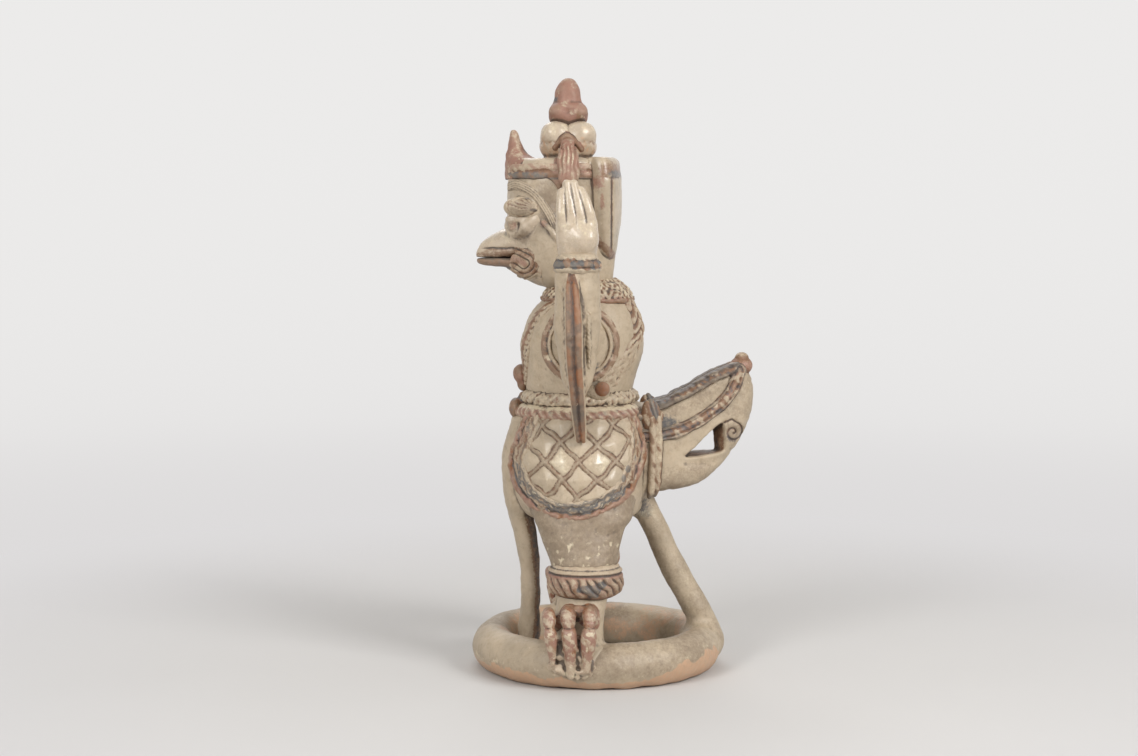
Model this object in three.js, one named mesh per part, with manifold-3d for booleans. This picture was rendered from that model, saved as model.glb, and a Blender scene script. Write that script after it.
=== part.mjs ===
// A hand-built ceramic bird-man. It stands on a coil ring, with raised winged arms, a pierced tail plume and
// a strut behind. Each clay member is a solid of its own, trimmed to the members that it is luted onto.
// Millimetres, +Z up. The figure faces -Y, and its left side is +X.
import * as THREE from "three";
import { mergeVertices } from "three/addons/utils/BufferGeometryUtils.js";
import Module from "manifold-3d";

const wasm = await Module();
wasm.setup();

const LUTE_GAP = 0.4; // slip line between two members
const MERGE_DISTANCE = 0.001;
const SLIVER_AREA = 0.005; // faces too small to have a sure normal
const MITRE_LIMIT = 3; // the most that an edge moves, in slip lines
const SKIN_TOLERANCE = 0.25; // facets flatter than this are merged

// Base ring
const RING_RADIUS = 70.5; // to the middle of the coil
const RING_HALF_WIDTH = 14.5;
const RING_HEIGHT = 29;
const RING_FOOT_WIDTH = 16; // flat that it stands on

// Lengths of the members, stacked from the ring up
const SHIN_LENGTH = 28;
const GARTER_HEIGHT = 20;
const THIGH_LENGTH = 30;
const HIP_HEIGHT = 79;
const TORSO_HEIGHT = 74;
const HEAD_HEIGHT = 86;
const TOPKNOT_HEIGHT = 26;
const FINIAL_HEIGHT = 28;

// Where the members start
const GARTER_Z = RING_HEIGHT + SHIN_LENGTH;
const KNEE_Z = GARTER_Z + GARTER_HEIGHT;
const CROTCH_Z = KNEE_Z + THIGH_LENGTH;
const WAIST_Z = CROTCH_Z + HIP_HEIGHT;
const NECK_Z = WAIST_Z + TORSO_HEIGHT;
const CROWN_Z = NECK_Z + HEAD_HEIGHT;
const TOPKNOT_Z = CROWN_Z + TOPKNOT_HEIGHT;

// Legs and feet
const FOOT_Y = -17.5; // feet stand forward of the ring's middle
const KNEE_INSET = 18.5; // knees stand in from the ring's coil
const KNEE_X = RING_RADIUS - KNEE_INSET;
const KNEE_Y = -8;
const HIP_JOINT_X = 40;
const SHIN_HALF_WIDTH = 14;
const SHIN_HALF_DEPTH = 16.5;
const THIGH_HALF_DEPTH = 33;
const KNEE_RADIUS = 20;
const GARTER_RADIUS = 25.6;
const TOE_RADIUS = 6.2;
const TOE_SPACING = 14;
const TOE_GATHER = 0.5; // share of the spacing left at the tips, as in a gripping claw
const KNUCKLE_RISE = 19; // above the ring

// Trunk slices: rise above its level, centre in Y, half width in X, half depth in Y
const HIP_SLICES = [
  { rise: -5, centre: -10, width: 42, depth: 31 },
  { rise: -1, centre: -10.5, width: 55, depth: 38.5 },
  { rise: 8, centre: -11.5, width: 60, depth: 43.5 },
  { rise: 20, centre: -12, width: 61, depth: 46.5 },
  { rise: 34, centre: -12.5, width: 59.5, depth: 48 },
  { rise: 50, centre: -12, width: 54, depth: 46 },
  { rise: 66, centre: -11.5, width: 46, depth: 41 },
  { rise: HIP_HEIGHT - 2, centre: -11.5, width: 40, depth: 37 },
  { rise: HIP_HEIGHT, centre: -11.5, width: 35, depth: 32 },
];
const TORSO_SLICES = [
  { rise: -4, centre: -12, width: 33, depth: 31 },
  { rise: 4, centre: -12, width: 38, depth: 36 },
  { rise: 15, centre: -11.5, width: 40.5, depth: 38 },
  { rise: 27, centre: -10.5, width: 42.5, depth: 41 },
  { rise: 39, centre: -10, width: 43.5, depth: 41.5 },
  { rise: 50, centre: -9, width: 42.5, depth: 38.5 },
  { rise: 60, centre: -8, width: 38, depth: 33.5 },
  { rise: 68, centre: -7.5, width: 30, depth: 26.5 },
  { rise: TORSO_HEIGHT, centre: -8, width: 21, depth: 20 },
];
const UPPER_BELT_SLICES = [
  { rise: -4, centre: -11.5, width: 38, depth: 35 },
  { rise: -2, centre: -11.5, width: 41.5, depth: 38.5 },
  { rise: 3, centre: -11.5, width: 41.5, depth: 38.5 },
  { rise: 5.5, centre: -12, width: 37, depth: 35 },
];
const LOWER_BELT_SLICES = [
  { rise: -15, centre: -11.5, width: 43, depth: 38 },
  { rise: -12.5, centre: -11.5, width: 48.5, depth: 43.3 },
  { rise: -7, centre: -11.5, width: 46, depth: 41.5 },
  { rise: -4.5, centre: -11.5, width: 40, depth: 36 },
];
const COLLAR_SLICES = [
  { rise: -12, centre: -6.8, width: 31, depth: 28 },
  { rise: -9, centre: -6.5, width: 35, depth: 31 },
  { rise: -4, centre: -6.5, width: 33, depth: 29.5 },
  { rise: 1, centre: -6, width: 27, depth: 25 },
  { rise: 4, centre: -6, width: 20, depth: 19 },
];

// Head slices above the neck
const NECK_RADIUS = 20.5;
const NECK_Y = -9.5;
const HEAD_SLICES = [
  { rise: -2, centre: -13, width: 16, depth: 16 },
  { rise: 4, centre: -19, width: 23.5, depth: 26 },
  { rise: 12, centre: -21, width: 27.5, depth: 31 },
  { rise: 24, centre: -22, width: 29.5, depth: 33.5 },
  { rise: 38, centre: -23, width: 30, depth: 36 },
  { rise: 54, centre: -23.5, width: 30, depth: 37 },
  { rise: HEAD_HEIGHT - 12, centre: -23, width: 30.5, depth: 37.5 },
  { rise: HEAD_HEIGHT - 4, centre: -23, width: 29, depth: 36 },
  { rise: HEAD_HEIGHT, centre: -22.5, width: 23, depth: 30 },
];
const HAIR_SLICES = [
  { rise: 16, centre: 6, width: 8, depth: 3.5 },
  { rise: 22, centre: 5.5, width: 19, depth: 7 },
  { rise: 36, centre: 4.5, width: 28, depth: 10.5 },
  { rise: 58, centre: 4, width: 33, depth: 12.5 },
  { rise: HEAD_HEIGHT - 10, centre: 3.5, width: 33.5, depth: 12.5 },
  { rise: HEAD_HEIGHT - 3, centre: 2.5, width: 31.5, depth: 11.5 },
  { rise: HEAD_HEIGHT, centre: 1.5, width: 26, depth: 8.5 },
];
const CREST_SLICES = [
  { rise: -9, centre: -52, width: 13, depth: 8 },
  { rise: -2, centre: -53, width: 11.5, depth: 7.6 },
  { rise: 6, centre: -54.5, width: 8.5, depth: 5.6 },
  { rise: 13, centre: -55.8, width: 5.4, depth: 4 },
  { rise: 18.5, centre: -56.3, width: 2, depth: 1.6 },
];
const TOPKNOT_Y = -19.5;
const TOPKNOT_RADIUS = 19;
const LOBE_RADIUS = 10.5;
const FINIAL_RADIUS = 14.6;
const FINIAL_NECK_RADIUS = 8.8;

// Face: slices of the beak from the face out, at y, centre above the neck
const UPPER_BEAK_SLICES = [
  { y: -40, centre: 33, width: 19, depth: 12.8 },
  { y: -55, centre: 31.6, width: 16.5, depth: 12 },
  { y: -63, centre: 29, width: 13.5, depth: 11 },
  { y: -70, centre: 26.6, width: 10.4, depth: 9.4 },
  { y: -76.5, centre: 24.2, width: 6.8, depth: 6.8 },
  { y: -81, centre: 21.8, width: 3.2, depth: 2.8 },
];
const LOWER_BEAK_SLICES = [
  { y: -40, centre: 12.4, width: 15, depth: 8.4 },
  { y: -55, centre: 15.8, width: 12.5, depth: 6 },
  { y: -66, centre: 17.1, width: 9.5, depth: 4.6 },
  { y: -75, centre: 17.8, width: 6, depth: 3.4 },
  { y: -80.5, centre: 18.2, width: 2.8, depth: 2.1 },
];
const NOSTRIL_RISE = 43;
const MOUTH_CORNER_RISE = 16;
const MOUTH_SCROLL_RADIUS = 8.2;
const EYE_RISE = 54;
const EYE_HALF_LENGTH = 13.5;
const EYE_HALF_HEIGHT = 7;
const BROW_RADIUS = 2.6;
const DIADEM_DROP = 14; // its lower edge below the crown
const DIADEM_RISE = HEAD_HEIGHT - DIADEM_DROP;
const DIADEM_HEIGHT = 8.5;
const DIADEM_TAB = 10; // that its pointed tab hangs below it
const LEAF_HALF_WIDTH = 9.5;

// Arms: rises above the waist
const ARM_Y = -13.5;
const SHOULDER_RISE = 40;
const SHOULDER_Y = -12;
const ELBOW_RISE = 12;
const WRIST_RISE = 88;
const ELBOW_X = 61;
const WRIST_X = 64;
const FOREARM_HALF_DEPTH = 15;
const WRIST_HALF_DEPTH = 13.3;
const BRACELET_HEIGHT = 11;
const HAND_LENGTH = 55;
const HAND_HALF_WIDTH = 13.2;
const FINGER_REACH = [0.9, 1, 0.97, 0.84]; // front finger first
const WING_THICKNESS = 9;
const WING_SPAN = 23; // that the wing stands out from the forearm
const WING_LEAN = 0.067; // its foot lies further back than its head
const WING_DROP = 25; // its foot below the waist

// Applied clay
const BAND_RISE = 3.2; // how far a pressed-on band stands proud
const FIELD_RISE = 1.8;
const RIDGE_WIDTH = 3.4;
const LATTICE_PITCH = 24; // across a diamond
const LATTICE_SLOPE = Math.PI / 4;
const HIP_BORDER_WIDTH = 13;
const HIP_PANEL = [ // outline in Y and rise above the crotch, open at the top
  [-52, 64], [-61.5, 44], [-57, 21], [-44, 7], [-23, 0], [2, 5], [22, 17], [34.5, 40], [36, 64],
];
const HIP_PANEL_MIDDLE = [-12.5, 45];
const SHOULDER_BAND_RADIUS = 22.5;
const SHOULDER_BAND_WIDTH = 6;
const STRAP_HALF_WIDTH = 5.5;
const BOSS_RADIUS = 5.5;

// Tail plume: outlines in Y and rise above the crotch
const TAIL_HALF_WIDTH = 22;
const TAIL_OUTLINE = [
  [20, 20], [49, 15.5], [71, 21], [92, 41], [104.5, 66], [106, 90],
  [98, 102.5], [81, 95.5], [60, 83], [43, 72], [20, 66],
];
const TAIL_PIERCING = [
  [61, 38], [74, 48.5], [85.5, 58], [87, 49], [85.5, 41.5], [74, 39],
];
const TAIL_BAND_OUTER = [
  [32, 58], [44, 47.5], [58, 49.5], [72, 57], [87, 67], [97, 79],
  [102, 94], [90, 100], [78, 95], [62, 85], [42, 73],
];
const TAIL_BAND_INNER = [
  [42, 60.5], [58, 60.5], [74, 69.5], [85, 81], [91, 94], [78.5, 88], [63, 78.5], [45, 69],
];
const KNOB_RADIUS = 6.8;

// Strut and sash
const STRUT_RADIUS = 9.4;
const SASH_HALF_WIDTH = 15;
const SASH_CHANNEL = 5;
const RIBBON_HALF_WIDTH = 4.6;
const RIBBON_THICKNESS = 4;
const KNOT_RADIUS = 7;

// Colours of the fired slips, from the photograph
const pale = slip(0xbfad92, 0.55);
const ochre = slip(0xcbb594, 0.45);
const umber = slip(0x8b6f5c, 0.65);
const red = slip(0xa9806b, 0.6);
const ash = slip(0x7d7168, 0.65);

function slip(color, roughness) {
  return new THREE.MeshStandardMaterial({ color, roughness, metalness: 0 });
}

// Solids

function solidOf(geometry) {
  const bare = new THREE.BufferGeometry();
  bare.setAttribute("position", geometry.getAttribute("position"));
  bare.setIndex(geometry.index);
  const merged = mergeVertices(bare, MERGE_DISTANCE);
  const corners = [];
  for (let i = 0; i < merged.index.count; i += 3) {
    const [a, b, c] = [0, 1, 2].map((k) => merged.index.getX(i + k));
    if (a !== b && b !== c && c !== a) corners.push(a, b, c);
  }
  const vertProperties = merged.attributes.position.array;
  const make = (list) =>
    new wasm.Manifold(new wasm.Mesh({ numProp: 3, vertProperties, triVerts: new Uint32Array(list) }));
  const made = make(corners);
  return made.volume() > 0 ? made : make(corners.reverse());
}

function geometryOf(solid) {
  const mesh = solid.getMesh();
  const places = new Float32Array(mesh.numVert * 3);
  for (let i = 0; i < mesh.numVert; i++) {
    const start = i * mesh.numProp;
    places.set(mesh.vertProperties.subarray(start, start + 3), i * 3);
  }
  const geometry = new THREE.BufferGeometry();
  geometry.setAttribute("position", new THREE.BufferAttribute(places, 3));
  geometry.setIndex(new THREE.BufferAttribute(mesh.triVerts, 1));
  return geometry;
}

// The same solid with its skin moved out, and its edges mitred.
function grown(solid, by) {
  const geometry = geometryOf(solid);
  const places = geometry.getAttribute("position");
  const facing = Array.from({ length: places.count }, () => []);
  const corner = (i) => new THREE.Vector3().fromBufferAttribute(places, i);
  for (let i = 0; i < geometry.index.count; i += 3) {
    const ring = [0, 1, 2].map((k) => geometry.index.getX(i + k));
    const face = new THREE.Triangle(...ring.map(corner));
    if (face.getArea() < SLIVER_AREA) continue;
    const normal = face.getNormal(new THREE.Vector3());
    for (const k of ring) {
      if (facing[k].every((other) => other.dot(normal) < 0.97)) facing[k].push(normal);
    }
  }
  facing.forEach((normals, i) => {
    if (!normals.length) return;
    const sum = normals.reduce((total, normal) => total.add(normal), new THREE.Vector3());
    const reach = (by * normals.length) / Math.max(sum.length(), normals.length / MITRE_LIMIT);
    const place = corner(i).addScaledVector(sum.normalize(), reach);
    places.setXYZ(i, place.x, place.y, place.z);
  });
  return solidOf(geometry);
}

function fused(first, ...others) {
  return others.reduce((sum, other) => sum.add(other), first);
}

// The value at share t of the way through a list, on a smooth curve through it.
function smooth(values, t) {
  const at = t * (values.length - 1);
  const i = Math.min(Math.floor(at), values.length - 2);
  const s = at - i;
  const [a, b] = [values[i], values[i + 1]];
  const leave = (b - (values[i - 1] ?? 2 * a - b)) / 2;
  const arrive = ((values[i + 2] ?? 2 * b - a) - a) / 2;
  const ease = s * s * (3 - 2 * s);
  return a + (b - a) * ease + s * (1 - s) * (leave * (1 - s) - arrive * s);
}

function around(sides, place) {
  return Array.from({ length: sides }, (_, k) => {
    const angle = (2 * Math.PI * k) / sides;
    return place(Math.cos(angle), Math.sin(angle));
  });
}

// A closed skin through rings of points, with a centre point at each end.
function skin(rings) {
  const sides = rings[0].length;
  const points = rings.flat();
  const ends = [rings[0], rings.at(-1)].map((ring) =>
    ring.reduce((sum, p) => sum.add(p), new THREE.Vector3()).divideScalar(sides),
  );
  const index = [];
  const last = (rings.length - 1) * sides;
  for (let k = 0; k < sides; k++) {
    const next = (k + 1) % sides;
    for (let row = 0; row < last; row += sides) {
      const [a, b] = [row + k, row + next];
      index.push(a, b, a + sides, b, b + sides, a + sides);
    }
    index.push(points.length, next, k, points.length + 1, last + k, last + next);
  }
  const geometry = new THREE.BufferGeometry().setFromPoints([...points, ...ends]);
  return solidOf(geometry.setIndex(index));
}

// A form built up in level oval slices about the vertical at x.
function stacked(level, slices, { x = 0, sides = 16, fineness = 1 } = {}) {
  const count = (slices.length - 1) * fineness;
  const read = (key, i) => smooth(slices.map((slice) => slice[key]), i / count);
  const rings = Array.from({ length: count + 1 }, (_, i) => {
    const [width, depth] = [read("width", i), read("depth", i)];
    const middle = new THREE.Vector3(x, read("centre", i), level + read("rise", i));
    return around(sides, (c, s) => middle.clone().add(new THREE.Vector3(width * c, depth * s, 0)));
  });
  return skin(rings);
}

// The same with upright slices, from the face out.
function drawnOut(level, slices, { sides = 10, fineness = 1 } = {}) {
  const count = (slices.length - 1) * fineness;
  const read = (key, i) => smooth(slices.map((slice) => slice[key]), i / count);
  const rings = Array.from({ length: count + 1 }, (_, i) => {
    const [width, depth] = [read("width", i), read("depth", i)];
    const middle = new THREE.Vector3(0, read("y", i), level + read("centre", i));
    return around(sides, (c, s) => middle.clone().add(new THREE.Vector3(width * c, 0, depth * s)));
  });
  return skin(rings);
}

// A rolled or flattened coil along a path. Its half size is across along the side direction, and through
// square to it: each is one number, or a list with one for each point. The ends named in domes are rounded.
function coil(path, { across, through = across, side = [1, 0, 0], sides = 10, steps = 1, domes = [0, 1] }) {
  const curve = new THREE.CatmullRomCurve3(path.map((p) => new THREE.Vector3(...p)));
  const lean = new THREE.Vector3(...side);
  const count = (path.length - 1) * steps;
  const size = (sizes, t) => (Array.isArray(sizes) ? smooth(sizes, t) : sizes);
  const ring = (t, scale, shift) => {
    const tangent = curve.getTangent(t);
    const u = lean.clone().addScaledVector(tangent, -tangent.dot(lean)).normalize();
    const v = new THREE.Vector3().crossVectors(tangent, u);
    const [a, b] = [size(across, t) * scale, size(through, t) * scale];
    const least = Math.min(size(across, t), size(through, t));
    const centre = curve.getPoint(t).addScaledVector(tangent, shift * least);
    return around(sides, (c, s) => centre.clone().addScaledVector(u, a * c).addScaledVector(v, b * s));
  };
  const rings = Array.from({ length: count + 1 }, (_, i) => ring(i / count, 1, 0));
  if (domes.includes(0)) rings.unshift(ring(0, Math.SQRT1_2, -Math.SQRT1_2));
  if (domes.includes(1)) rings.push(ring(1, Math.SQRT1_2, Math.SQRT1_2));
  return skin(rings);
}

function ball(place, radii, sides = 8) {
  const geometry = new THREE.SphereGeometry(1, sides, sides / 2);
  return solidOf(geometry.rotateX(Math.PI / 2).scale(...radii).translate(...place));
}

// A profile of (radius, height) points turned about the vertical at y.
function turned(profile, y, level, sides) {
  const geometry = new THREE.LatheGeometry(profile.map(([r, z]) => new THREE.Vector2(r, z)), sides);
  return solidOf(geometry.rotateX(Math.PI / 2).translate(0, y, level));
}

const X_AXIS = new THREE.Vector3(1, 0, 0);
const Y_AXIS = new THREE.Vector3(0, 1, 0);
const Z_AXIS = new THREE.Vector3(0, 0, 1);
const SIDEWAYS = new THREE.Matrix4().makeBasis(Y_AXIS, Z_AXIS, X_AXIS);
const FORWARDS = new THREE.Matrix4().makeBasis(X_AXIS, Z_AXIS, Y_AXIS.clone().negate());

// An outline in (y, z) drawn out sideways from x low to x high.
function acrossX(shape, low, high, curveSegments = 2) {
  const depth = high - low;
  const geometry = new THREE.ExtrudeGeometry(shape, { depth, bevelEnabled: false, curveSegments });
  return solidOf(geometry.translate(0, 0, low).applyMatrix4(SIDEWAYS));
}

// An outline in (x, z) drawn out from y low to y high.
function alongY(shape, low, high) {
  const depth = high - low;
  const geometry = new THREE.ExtrudeGeometry(shape, { depth, bevelEnabled: false, curveSegments: 2 });
  return solidOf(geometry.translate(0, 0, -high).applyMatrix4(FORWARDS));
}

// A smooth closed outline through points, raised to a level.
function outline(points, level) {
  const [first, ...rest] = points.map(([u, v]) => new THREE.Vector2(u, v + level));
  return new THREE.Shape().moveTo(first.x, first.y).splineThru([...rest, first]);
}

function polygon(points, level) {
  return new THREE.Shape(points.map(([u, v]) => new THREE.Vector2(u, v + level)));
}

// Assembly

const garuda = new THREE.Group();
const figure = new THREE.Group();
const mirror = new THREE.Group();
mirror.scale.x = -1;
figure.add(mirror);
garuda.add(figure);
const laid = []; // the rooms of the members in place
const LEFT_HALF = solidOf(new THREE.BoxGeometry(500, 1000, 1000).translate(250, 0, 0));

// A cut solid with its flat facets merged, less what the cut left loose.
function cleaned(solid) {
  const bodies = solidOf(geometryOf(solid.simplify(SKIN_TOLERANCE))).decompose();
  return bodies.sort((a, b) => b.volume() - a.volume())[0];
}

// A member cut back from everything that it meets.
function cutBack(solid) {
  const { min, max } = solid.boundingBox();
  const meets = (box) => [0, 1, 2].every((k) => box.min[k] < max[k] && box.max[k] > min[k]);
  let made = solid;
  for (const other of laid) {
    if (meets(other.boundingBox())) made = made.subtract(other);
  }
  return made;
}

function meshOf(name, solid, material) {
  const mesh = new THREE.Mesh(geometryOf(solid), material);
  mesh.name = name;
  return mesh;
}

// A left half joined to its mirror image, without the faces of the cut between them.
function mirrored(half) {
  const { attributes, index } = geometryOf(half);
  const count = attributes.position.count;
  const points = Array.from({ length: count }, (_, i) => {
    const point = new THREE.Vector3().fromBufferAttribute(attributes.position, i);
    return Math.abs(point.x) < MERGE_DISTANCE ? point.setX(0) : point;
  });
  const corners = [];
  for (let i = 0; i < index.count; i += 3) {
    const [a, b, c] = [index.getX(i), index.getX(i + 1), index.getX(i + 2)];
    const inCut = [a, b, c].every((k) => points[k].x === 0);
    if (!inCut) corners.push(a, b, c, count + a, count + c, count + b);
  }
  const reflections = points.map((point) => new THREE.Vector3(-point.x, point.y, point.z));
  const geometry = new THREE.BufferGeometry().setFromPoints([...points, ...reflections]);
  return solidOf(geometry.setIndex(corners));
}

// A member on the middle line, made as one half and its mirror image.
function member(name, solid, material) {
  const half = cutBack(solid.intersect(LEFT_HALF));
  const whole = cleaned(mirrored(half));
  laid.push(fused(whole, grown(whole, LUTE_GAP)));
  figure.add(meshOf(name, whole, material));
  return whole;
}

// A member on the left, and its mirror image on the right.
function pair(name, solid, material) {
  const made = cleaned(cutBack(solid));
  laid.push(fused(made, grown(made, LUTE_GAP)));
  figure.add(meshOf(`left_${name}`, made, material));
  mirror.add(meshOf(`right_${name}`, made, material));
  return made;
}

// Ring: an oval coil with a flat to stand on
const footAngle = Math.acos(RING_FOOT_WIDTH / 2 / RING_HALF_WIDTH);
const ringCentre = (RING_HEIGHT * Math.sin(footAngle)) / (1 + Math.sin(footAngle));
const ringProfile = Array.from({ length: 9 }, (_, i) => {
  const angle = -footAngle + ((Math.PI + 2 * footAngle) * i) / 8;
  const rise = (RING_HEIGHT - ringCentre) * Math.sin(angle);
  return [RING_RADIUS + RING_HALF_WIDTH * Math.cos(angle), ringCentre + rise];
});
member("base_ring", turned([...ringProfile, ringProfile[0]], 0, 0, 32), pale);

// Hips, with a panel on each side: a pressed field with a raised lattice, and a border round it
const hips = member("hips", stacked(CROTCH_Z, HIP_SLICES, { sides: 16 }), pale);
const panelMiddle = new THREE.Vector2(...HIP_PANEL_MIDDLE);
// The panel's outline drawn in by a width, and open at the top.
const drawnIn = (width) =>
  HIP_PANEL.map(([y, z], i) => {
    const place = new THREE.Vector2(y, z);
    const inwards = panelMiddle.clone().sub(place).setLength(width);
    const atTop = i === 0 || i === HIP_PANEL.length - 1;
    return atTop ? [y + Math.sign(inwards.x) * width, z + 12] : place.add(inwards).toArray();
  });
const throughSide = (points) => acrossX(outline(points, CROTCH_Z), TAIL_HALF_WIDTH + 1.5, 90);
const panelPrism = throughSide(HIP_PANEL);
const fieldPrism = throughSide(drawnIn(HIP_BORDER_WIDTH)).intersect(panelPrism);
const ridges = [];
for (const way of [-1, 1]) {
  for (let k = -2; k <= 2; k++) {
    const strip = new THREE.BoxGeometry(120, RIDGE_WIDTH, 200);
    strip.translate(0, k * LATTICE_PITCH * Math.sin(LATTICE_SLOPE), 0).rotateZ(way * LATTICE_SLOPE);
    strip.applyMatrix4(SIDEWAYS).translate(0, panelMiddle.x, CROTCH_Z + panelMiddle.y);
    ridges.push(solidOf(strip));
  }
}
const lattice = fused(...ridges).intersect(fieldPrism).intersect(grown(hips, BAND_RISE));
pair("hip_panel", fused(fieldPrism.intersect(grown(hips, FIELD_RISE)), lattice), pale);
const borderPrism = panelPrism.subtract(throughSide(drawnIn(HIP_BORDER_WIDTH - 2 * LUTE_GAP)));
pair("hip_border", borderPrism.intersect(grown(hips, BAND_RISE + 0.6)), umber);

// Torso and head, with the collar, bands and straps that are pressed on
const torso = member("torso", stacked(WAIST_Z, TORSO_SLICES, { sides: 16 }), pale);
const neckPath = [[0, NECK_Y, NECK_Z - 6], [0, NECK_Y, NECK_Z + 14]];
const neck = coil(neckPath, { across: NECK_RADIUS, sides: 12, domes: [] });
const head = member("head", fused(stacked(NECK_Z, HEAD_SLICES), neck), pale);
member("collar", stacked(NECK_Z, COLLAR_SLICES, { sides: 12 }), umber);
const shoulderCircle = (path, radius) =>
  path.absarc(SHOULDER_Y, WAIST_Z + SHOULDER_RISE, radius, 0, 2 * Math.PI);
const bandShape = shoulderCircle(new THREE.Shape(), SHOULDER_BAND_RADIUS + SHOULDER_BAND_WIDTH / 2);
bandShape.holes.push(shoulderCircle(new THREE.Path(), SHOULDER_BAND_RADIUS - SHOULDER_BAND_WIDTH / 2));
pair("shoulder_band", acrossX(bandShape, 6, 90, 8).intersect(grown(torso, BAND_RISE)), umber);
const strap = grown(torso, FIELD_RISE);
const chestShape = polygon(
  [
    [-26, 56], [-13, 35], [-STRAP_HALF_WIDTH, 25], [-STRAP_HALF_WIDTH, 15],
    [STRAP_HALF_WIDTH, 15], [STRAP_HALF_WIDTH, 25], [13, 35], [26, 56], [21, 61], [0, 44], [-21, 61],
  ],
  WAIST_Z,
);
member("chest_strap", alongY(chestShape, -70, -10).intersect(strap), umber);
const backShape = polygon(
  [
    [-STRAP_HALF_WIDTH, 70], [-STRAP_HALF_WIDTH, 52], [-44, 14], [-40, 3], [0, 40],
    [40, 3], [44, 14], [STRAP_HALF_WIDTH, 52], [STRAP_HALF_WIDTH, 70],
  ],
  WAIST_Z,
);
member("back_strap", alongY(backShape, 2, 60).intersect(strap), umber);

// Headdress
member("hair_block", stacked(NECK_Z, HAIR_SLICES, { sides: 12 }), pale);
const diademLow = DIADEM_RISE;
const diademTop = DIADEM_RISE + DIADEM_HEIGHT;
const diademShape = polygon(
  [
    [-70, diademLow], [-40, diademLow], [-27, diademLow - DIADEM_TAB], [-18, diademLow], [30, diademLow],
    [30, diademTop], [-70, diademTop],
  ],
  NECK_Z,
);
member("diadem", acrossX(diademShape, -60, 60).intersect(grown(head, FIELD_RISE)), umber);
member("crest", stacked(CROWN_Z, CREST_SLICES, { sides: 10 }), red);
const lobes = [-1, 1].map((way) =>
  ball(
    [0, TOPKNOT_Y + way * (TOPKNOT_RADIUS - LOBE_RADIUS), TOPKNOT_Z - LOBE_RADIUS],
    [TOPKNOT_RADIUS - 3, LOBE_RADIUS, LOBE_RADIUS - 1],
  ),
);
const bun = ball(
  [0, TOPKNOT_Y, CROWN_Z + TOPKNOT_HEIGHT * 0.42],
  [TOPKNOT_RADIUS, TOPKNOT_RADIUS, TOPKNOT_HEIGHT * 0.52],
  14,
);
member("topknot", fused(bun, ...lobes), ochre);
const finialProfile = [
  [0, -3], [FINIAL_RADIUS - 4.6, -3], [FINIAL_RADIUS - 1.5, 1], [FINIAL_RADIUS, 4.5],
  [FINIAL_RADIUS - 2.4, 8], [FINIAL_NECK_RADIUS, 10], [FINIAL_NECK_RADIUS + 0.2, 13],
  [FINIAL_NECK_RADIUS - 1, 19], [FINIAL_NECK_RADIUS - 3.4, FINIAL_HEIGHT - 3], [0, FINIAL_HEIGHT],
];
member("finial", turned(finialProfile, TOPKNOT_Y, TOPKNOT_Z, 12), red);

// Face
const nostrils = [-1, 1].map((way) => ball([way * 14, -51, NECK_Z + NOSTRIL_RISE], [8, 10.5, 7]));
member("upper_beak", fused(drawnOut(NECK_Z, UPPER_BEAK_SLICES), ...nostrils), ochre);
pair(
  "mouth_scroll",
  ball([16.5, -48, NECK_Z + MOUTH_CORNER_RISE], [5.5, MOUTH_SCROLL_RADIUS, MOUTH_SCROLL_RADIUS]),
  umber,
);
member("lower_beak", drawnOut(NECK_Z, LOWER_BEAK_SLICES), umber);
pair("eye", ball([21.5, -47.5, NECK_Z + EYE_RISE], [6, EYE_HALF_LENGTH, EYE_HALF_HEIGHT]), pale);
const browPath = [
  [9.5, -58, 9], [17.5, -53, 13], [26, -43, 10.5], [29.5, -34, 1], [30, -29.5, -9],
].map(([x, y, rise]) => [x, y, NECK_Z + EYE_RISE + rise]);
pair("brow", coil(browPath, { across: BROW_RADIUS, sides: 6 }), umber);
const leafPath = [[13, -20, 15], [21, -19.5, 8], [30, -19, 0.5], [33.5, -18, -12]];
pair(
  "ear_leaf",
  coil(leafPath.map(([x, y, z]) => [x, y, CROWN_Z + z]), {
    across: [2.5, LEAF_HALF_WIDTH * 0.7, LEAF_HALF_WIDTH, LEAF_HALF_WIDTH * 0.8],
    through: 2.4,
    side: [0, 1, 0],
    sides: 8,
  }),
  red,
);

// Legs
const thighPath = [
  [HIP_JOINT_X, -10.5, CROTCH_Z + 8],
  [HIP_JOINT_X + 2, -10, CROTCH_Z - 6],
  [KNEE_X - 3, KNEE_Y - 1.5, KNEE_Z + 4],
  [KNEE_X, KNEE_Y - 1, GARTER_Z - 1],
];
pair(
  "thigh",
  coil(thighPath, {
    across: [16, 18, KNEE_RADIUS - 1, KNEE_RADIUS - 2],
    through: [THIGH_HALF_DEPTH - 4, THIGH_HALF_DEPTH - 2, KNEE_RADIUS + 3, KNEE_RADIUS],
    sides: 12,
    domes: [],
  }),
  pale,
);
const ankleX = RING_RADIUS - 4;
const shinPath = [
  [KNEE_X, KNEE_Y - 1.5, GARTER_Z + 4],
  [(KNEE_X + ankleX) / 2, (KNEE_Y + FOOT_Y) / 2, GARTER_Z - 8],
  [ankleX, FOOT_Y + 5, RING_HEIGHT - 2],
];
const shinSize = { across: SHIN_HALF_WIDTH, through: SHIN_HALF_DEPTH };
pair("shin", coil(shinPath, { ...shinSize, sides: 12, domes: [] }), pale);
const garterSlices = [[0, -3.5], [0.2, -0.4], [0.75, -0.6], [1, -3]].map(([share, swell]) => ({
  rise: GARTER_HEIGHT * share,
  centre: KNEE_Y,
  width: GARTER_RADIUS + swell - 2,
  depth: GARTER_RADIUS + swell,
}));
pair("garter", stacked(GARTER_Z, garterSlices, { x: KNEE_X, sides: 12 }), red);
const ringEdge = RING_RADIUS + RING_HALF_WIDTH;
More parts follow.
